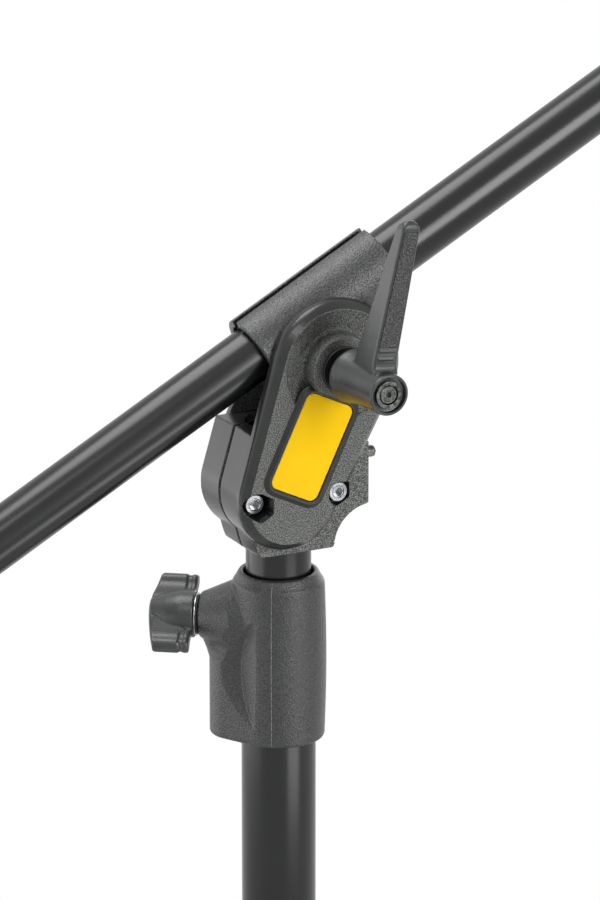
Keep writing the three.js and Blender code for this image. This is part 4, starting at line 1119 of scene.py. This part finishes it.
def collar_shape(share, outer_tube, inner_tube, on_tube):
    """A collar about +Z with its boss along +X, and the line where its mould parts."""
    size = scaler(share)
    top = size(COLLAR_LENGTH)
    radius = outer_tube + size(COLLAR_RADIUS - COLUMN_RADIUS)
    mouth = inner_tube + size(MOUTH_RADIUS - RISER_RADIUS)
    knob_axis = Matrix.Translation((0, 0, top - size(KNOB_DROP))) @ SIDEWAYS

    nose = []
    for height, reach, tip, inset in NOSE_LEVELS:
        outline = inset_belt((0, 0, radius), (size(reach - tip), 0, size(tip)), size(inset))
        nose.append(level(outline, size(height)))
    boss = turned([(0, size(BOSS_SIDE[0][1]))] + [(size(r), size(t)) for r, t in BOSS_SIDE]
                  + [(0, size(BOSS_REACH))])
    body = joined(turned(barrel_profile(size, radius, mouth, top, 0)), loft(nose), put(boss, knob_axis))
    for side in (-1, 1):
        body = cut(body, thumb_scoop(side, share, top - size(SCOOP_DROP)))
    body = moulded(body, COLLAR_VOXEL if share == 1 else SMALL_COLLAR_VOXEL, 2)

    bush_seat = top - size(BUSH_DROP)
    pad_seat, insert_seat = inner_tube + size(PAD_REACH), size(BOSS_REACH - INSERT_LENGTH)
    pad_bore, stud_bore = size(PAD_RADIUS) + FIT, size(STUD_RADIUS) + 0.45
    insert_bore = size(INSERT_RADIUS) + 0.2
    bores = [
        rod(outer_tube + FIT, -FAR, on_tube + FIT),
        rod(outer_tube - FIT, on_tube, bush_seat + 0.1),
        turned([(0, bush_seat), (mouth, bush_seat), (mouth, top - 0.8), (mouth + 0.25, top - 0.3),
                (mouth + 0.8, top + 0.1), (mouth + 0.8, FAR), (0, FAR)]),
        put(turned([(0, 0), (pad_bore, 0), (pad_bore, pad_seat), (stud_bore, pad_seat),
                    (stud_bore, insert_seat), (insert_bore, insert_seat), (insert_bore, FAR), (0, FAR)], 48),
            knob_axis),
    ]
    strip = combined(turned(barrel_profile(size, radius, mouth, top, size(PARTING_HALF))),
                     box((-PARTING_HALF, -FAR, 1.5), (PARTING_HALF, FAR, top - size(1.2))), "INTERSECT")
    strip = cut(strip, turned(barrel_profile(size, radius, mouth, top, -size(0.3))))
    return cut(body, *bores), strip


KNOB_FOOT = 44.9
KNOB_END = 69.3
KNOB_SIDE = [(12.2, KNOB_FOOT), (12.7, KNOB_FOOT + 0.4), (12.7, 51.3), (12.55, 51.5), (12.55, 51.7),
             (12.7, 51.9), (12.5, 53.5), (12.15, 55.3), (11.6, 57.5), (10.9, 60), (10.1, 62.3), (9.2, 64.8),
             (8.5, 66.8), (7.9, 68.4), (7, KNOB_END)]
WING_WAIST = 17
WING_BEAD = 21.4
WING_FALL = 4.1  # how much lower the wings' ends are than their middle
WING_STATIONS = 48
WING_LOW = 50.9
CORE_LOW = 46.4
CORE_DROP = 12
CORE_THIN = 1.1
LIP_LOW = 45.9
LIP_FRONT = 49.6
LIP_THIN = 0.2
KNOB_VOXEL = 0.36
REBATE_END = 45.5


def wing_thickness(across):
    """A wing's thickness at a distance from the axis: most at the hub, least at its waist, then a bead."""
    if across < WING_WAIST:
        t = max(across - 5, 0) / 12
        return 12.6 - 5.6 * (0.5 - 0.5 * math.cos(math.pi * t))
    t = (across - WING_WAIST) / (WING_BEAD - WING_WAIST)
    if t < 1:
        return 7 + 1.6 * (0.5 - 0.5 * math.cos(math.pi * t))
    return 8.6 * math.sqrt(max(1 - ((across - WING_BEAD) / 3.3) ** 2, 0))


def wings(size, span, low, thinner, front_at):
    """Both wings as one body, from a height up to the front that front_at gives at each reach."""
    rings = []
    for i in range(WING_STATIONS + 1):
        across = -span + i * 2 * span / WING_STATIONS
        reach = across * WING_REACH / span
        front = front_at(reach)
        deep = max(wing_thickness(min(abs(reach), WING_REACH - 0.2)) - thinner, 1.2)
        rings.append([(size((low + front) / 2 + x), size(y), size(across))
                      for x, y in rectangle(front - low, deep, min(1.5, deep * 0.45))])
    return loft(rings)


def wing_knob_shape(share, span):
    """A wing knob along +X, its wings along Z, each reaching the span from the axis."""
    size = scaler(share)

    def wing_front(reach):
        return KNOB_END - WING_FALL * (reach / WING_REACH) ** 2

    hub = turned([(0, size(KNOB_FOOT))] + [(size(r), size(t)) for r, t in KNOB_SIDE] + [(0, size(KNOB_END))])
    body = joined(put(hub, SIDEWAYS),
                  wings(size, span, WING_LOW, 0, wing_front),
                  wings(size, span - 0.5, CORE_LOW, CORE_THIN, lambda reach: wing_front(reach) - CORE_DROP),
                  wings(size, span - 0.2, LIP_LOW, LIP_THIN, lambda reach: LIP_FRONT))
    return moulded(body, KNOB_VOXEL * max(share, 0.8), 1)


def collar_and_knob(prefix, collar_node, knob_node, share, span, outer_tube, inner_tube, on_tube, place):
    """A collar on its tube with its parting line, its wing knob, and the washer between them."""
    size = scaler(share)
    moulding, parting_line = collar_shape(share, outer_tube, inner_tube, on_tube)
    piece(f"{prefix}_collar_moulding", collar_node, moulding, place, sharp=50)
    # The parting line is drawn in the paler nylon, a painted highlight along the ridge.
    piece(f"{prefix}_parting_line", collar_node, parting_line, place, PAINTED_HIGHLIGHT_NYLON, stands_for=False)
    axis = place @ Matrix.Translation((0, 0, (COLLAR_LENGTH - KNOB_DROP) * share))
    bore = size(STUD_RADIUS) + FIT
    knob = cut(wing_knob_shape(share, span), put(rod(bore, 0, size(STUD_END), 48), SIDEWAYS),
               put(rod(size(WASHER_RADIUS + 0.1), 0, size(REBATE_END)), SIDEWAYS))
    piece(f"{prefix}_knob_moulding", knob_node, knob, axis @ Matrix.Rotation(WING_TURN, 4, "X"),
          SMOOTH_NYLON, sharp=50)
    low, high = size(BOSS_REACH) + 0.3, size(BOSS_REACH + WASHER_THICKNESS) + 0.3
    seat, edge, ring_edge = high - 0.6, size(WASHER_RADIUS), size(RING_RADIUS)
    piece(f"{prefix}_washer_turned", f"{knob_node}_washer", pipe(bore, edge, seat, high, 0.2),
          axis @ SIDEWAYS)
    # A dark ring between the boss and the washer, in the nearly black steel: painted shade in the gap there.
    piece(f"{prefix}_painted_shade_ring", f"{knob_node}_washer", pipe(bore, ring_edge, low, seat - 0.05, 0.3),
          axis @ SIDEWAYS, SHADE_PAINTED_STEEL, stands_for=False)


collar_and_knob("column", "collar", "wing_knob", share=1, span=24.7, outer_tube=COLUMN_RADIUS,
                inner_tube=RISER_RADIUS, on_tube=COLUMN_IN_COLLAR, place=COLLAR_PLACE)
collar_and_knob("boom", "boom_collar", "boom_knob", share=BOOM_COLLAR_SHARE, span=WING_REACH,
                outer_tube=BOOM_RADIUS, inner_tube=EXTENSION_RADIUS, on_tube=BOOM_IN_COLLAR,
                place=BOOM_PLACE @ Matrix.Translation((0, 0, BOOM_COLLAR_FOOT)))


# Ends of the boom and of the extension

PLUG_BORE = 4.5
PLUG_INSIDE = 26
EYE_RADIUS = 13
EYE_WIRE = 3.6
EYE_SHANK = 4.2
EYE_VOXEL = 0.4
SPIGOT_RADIUS = 8
SPIGOT_LENGTH = 38
SPIGOT_GROOVE = 19  # from the flange's foot to the groove's middle


def tail_plug(end):
    """The plug in the boom's tail, with a flange past the tube."""
    inner = BOOM_RADIUS - TUBE_WALL - FIT
    return turned([(PLUG_BORE, end), (12, end), (13.6, end + 0.4), (14.6, end + 1.4), (15, end + 2.8),
                   (15, -BOOM_TAIL - 0.6), (14.7, -BOOM_TAIL - 0.3), (inner, -BOOM_TAIL - 0.3),
                   (inner, -BOOM_TAIL + PLUG_INSIDE), (PLUG_BORE, -BOOM_TAIL + PLUG_INSIDE)])


def weight_eye(end):
    """A forged ring on its shank, melted together."""
    middle = end - 0.6 - EYE_WIRE - EYE_RADIUS
    ring = bmesh.new()
    made = bmesh.ops.create_circle(ring, segments=32, radius=EYE_WIRE)
    put(ring, Matrix.Translation((EYE_RADIUS, 0, 0)) @ FORWARD)
    bmesh.ops.spin(ring, geom=made["verts"] + ring.edges[:], cent=(0, 0, 0), axis=(0, 0, 1), angle=math.tau,
                   steps=ROUND, use_merge=True, use_duplicate=False)
    bmesh.ops.remove_doubles(ring, verts=ring.verts, dist=0.001)
    bmesh.ops.recalc_face_normals(ring, faces=ring.faces)
    put(ring, Matrix.Translation((0, 0, middle)) @ SIDEWAYS)
    shank = turned([(0, middle + EYE_RADIUS), (6.6, middle + EYE_RADIUS), (7.5, end - 1.2), (7.5, end - 0.4),
                    (7.2, end - 0.3), (EYE_SHANK, end - 0.3), (EYE_SHANK, -BOOM_TAIL + PLUG_INSIDE),
                    (0, -BOOM_TAIL + PLUG_INSIDE)], 64)
    return moulded(joined(ring, shank), EYE_VOXEL, 2)


def end_plug(face):
    """The plug in the extension's end."""
    inner = EXTENSION_RADIUS - EXTENSION_WALL - FIT
    return turned([(4.2, EXTENSION_HEAD - 20), (inner, EXTENSION_HEAD - 20), (inner, face), (12.2, face),
                   (12.5, face + 0.3), (12.5, face + 5), (12.2, face + 5.6), (11.6, face + 6),
                   (4.2, face + 6)])


def end_spigot(foot):
    """A plain 16 mm spigot with a flange at its foot and a groove for a clamp's screw."""
    groove, end, radius = foot + SPIGOT_GROOVE, foot + SPIGOT_LENGTH, SPIGOT_RADIUS
    return turned([(0, foot - 16), (3.9, foot - 16), (3.9, foot), (10.6, foot), (11, foot + 0.4),
                   (11, foot + 2.6), (10.6, foot + 3), (radius, foot + 3), (radius, groove - 5),
                   (radius - 1.5, groove - 3.5), (radius - 1.5, groove + 3.5), (radius, groove + 5),
                   (radius, end - 1), (radius - 0.3, end - 0.4), (radius - 0.8, end), (0, end)])


def boom_ends():
    tail = -BOOM_TAIL - 5.3
    face = EXTENSION_HEAD + 0.3
    piece("tail_plug_turned", "tail_plug", tail_plug(tail), BOOM_PLACE)
    piece("weight_eye_forged", "weight_eye", weight_eye(tail), BOOM_PLACE)
    piece("end_plug_turned", "extension_end_plug", end_plug(face), BOOM_PLACE)
    piece("end_spigot_turned", "end_spigot", end_spigot(face + 6.3), BOOM_PLACE)


boom_ends()


# Stage: a white floor, a white room and soft lamps

def lookers(tree):
    """One for the rays that show a background: the camera's, a mirror's and a glass's."""
    path = tree.nodes.new("ShaderNodeLightPath")
    total = path.outputs["Is Camera Ray"]
    for name in ("Is Glossy Ray", "Is Transmission Ray"):
        total = worked_out(tree, "Math", "MAXIMUM", total, path.outputs[name])
    return total


def show_mix(tree, share, first, second, output):
    """Gives a tree's output a mix of two shaders, by the share of the second."""
    mix = add_node(tree, "ShaderNodeMixShader", Fac=share)
    tree.links.new(first.outputs[0], mix.inputs[1])
    tree.links.new(second.outputs[0], mix.inputs[2])
    tree.links.new(mix.outputs[0], tree.nodes[output].inputs["Surface"])


FADE_START = 80
FADE_END = 260


def white_paper():
    # White paper: it keeps the object's shadow round its foot and fades to pure white farther out
    white = bpy.data.materials.new("white_paper")
    white.use_nodes = True
    tree = white.node_tree
    shader = tree.nodes["Principled BSDF"]
    shader.inputs["Base Color"].default_value = linear("#e8e8e8")
    shader.inputs["Roughness"].default_value = 0.9
    glow = add_node(tree, "ShaderNodeEmission", Color=(1, 1, 1, 1), Strength=1.0)
    place = tree.nodes.new("ShaderNodeTexCoord").outputs["Object"]
    reach = worked_out(tree, "VectorMath", "LENGTH", place)
    fade = add_node(tree, "ShaderNodeMapRange", Value=reach, From_Min=FADE_START * MM,
                    From_Max=FADE_END * MM)
    share = worked_out(tree, "Math", "MULTIPLY", lookers(tree), fade.outputs["Result"])
    show_mix(tree, share, shader, glow, "Material Output")
    return white


def paper_floor():
    shape = bmesh.new()
    bmesh.ops.create_grid(shape, x_segments=1, y_segments=1, size=3)
    bmesh.ops.translate(shape, verts=shape.verts, vec=(0, 0, -MM))
    mesh = as_mesh("floor", shape)
    mesh.materials.append(white_paper())
    placed("floor", mesh)


def white_room():
    """Pure white to the camera and to mirrors, and only a little light on all else."""
    world = bpy.data.worlds.new("studio")
    world.use_nodes = True
    bpy.context.scene.world = world
    tree = world.node_tree
    soft = tree.nodes["Background"]
    soft.inputs["Color"].default_value = (1, 1, 1, 1)
    soft.inputs["Strength"].default_value = 0.12
    bright = add_node(tree, "ShaderNodeBackground", Color=(1, 1, 1, 1), Strength=1.0)
    show_mix(tree, lookers(tree), soft, bright, "World Output")


def softbox(name, place, width, height, power):
    """A rectangular lamp aimed at the crossing: its place and its size in metres, and its power in watts."""
    lamp = bpy.data.lights.new(name, "AREA")
    lamp.shape = "RECTANGLE"
    lamp.size = width
    lamp.size_y = height
    lamp.energy = power
    stand = placed(name, lamp)
    stand.visible_camera = False
    stand.location = place
    stand.rotation_euler = (CROSSING * MM - stand.location).to_track_quat("-Z", "Y").to_euler()


paper_floor()
white_room()
softbox("key_front", (0.46, -1.46, 0.84), 0.6, 0.8, 16)
softbox("left_top", (-0.8, -0.75, 1.42), 0.5, 0.3, 3)
softbox("overhead", (-0.36, 0.3, 1.75), 1.0, 0.8, 17)
softbox("left_wall", (-1.25, 0.75, 0.45), 2.6, 1.4, 8.5)
softbox("left_table", (-0.62, 0.28, 0.12), 0.9, 0.6, 3)
softbox("front_table", (0.16, -0.46, 0.08), 0.3, 0.14, 0.55)
softbox("back_right", (1.2, 1.1, 0.6), 1.0, 1.2, 5)
bpy.context.scene.view_settings.view_transform = "Standard"
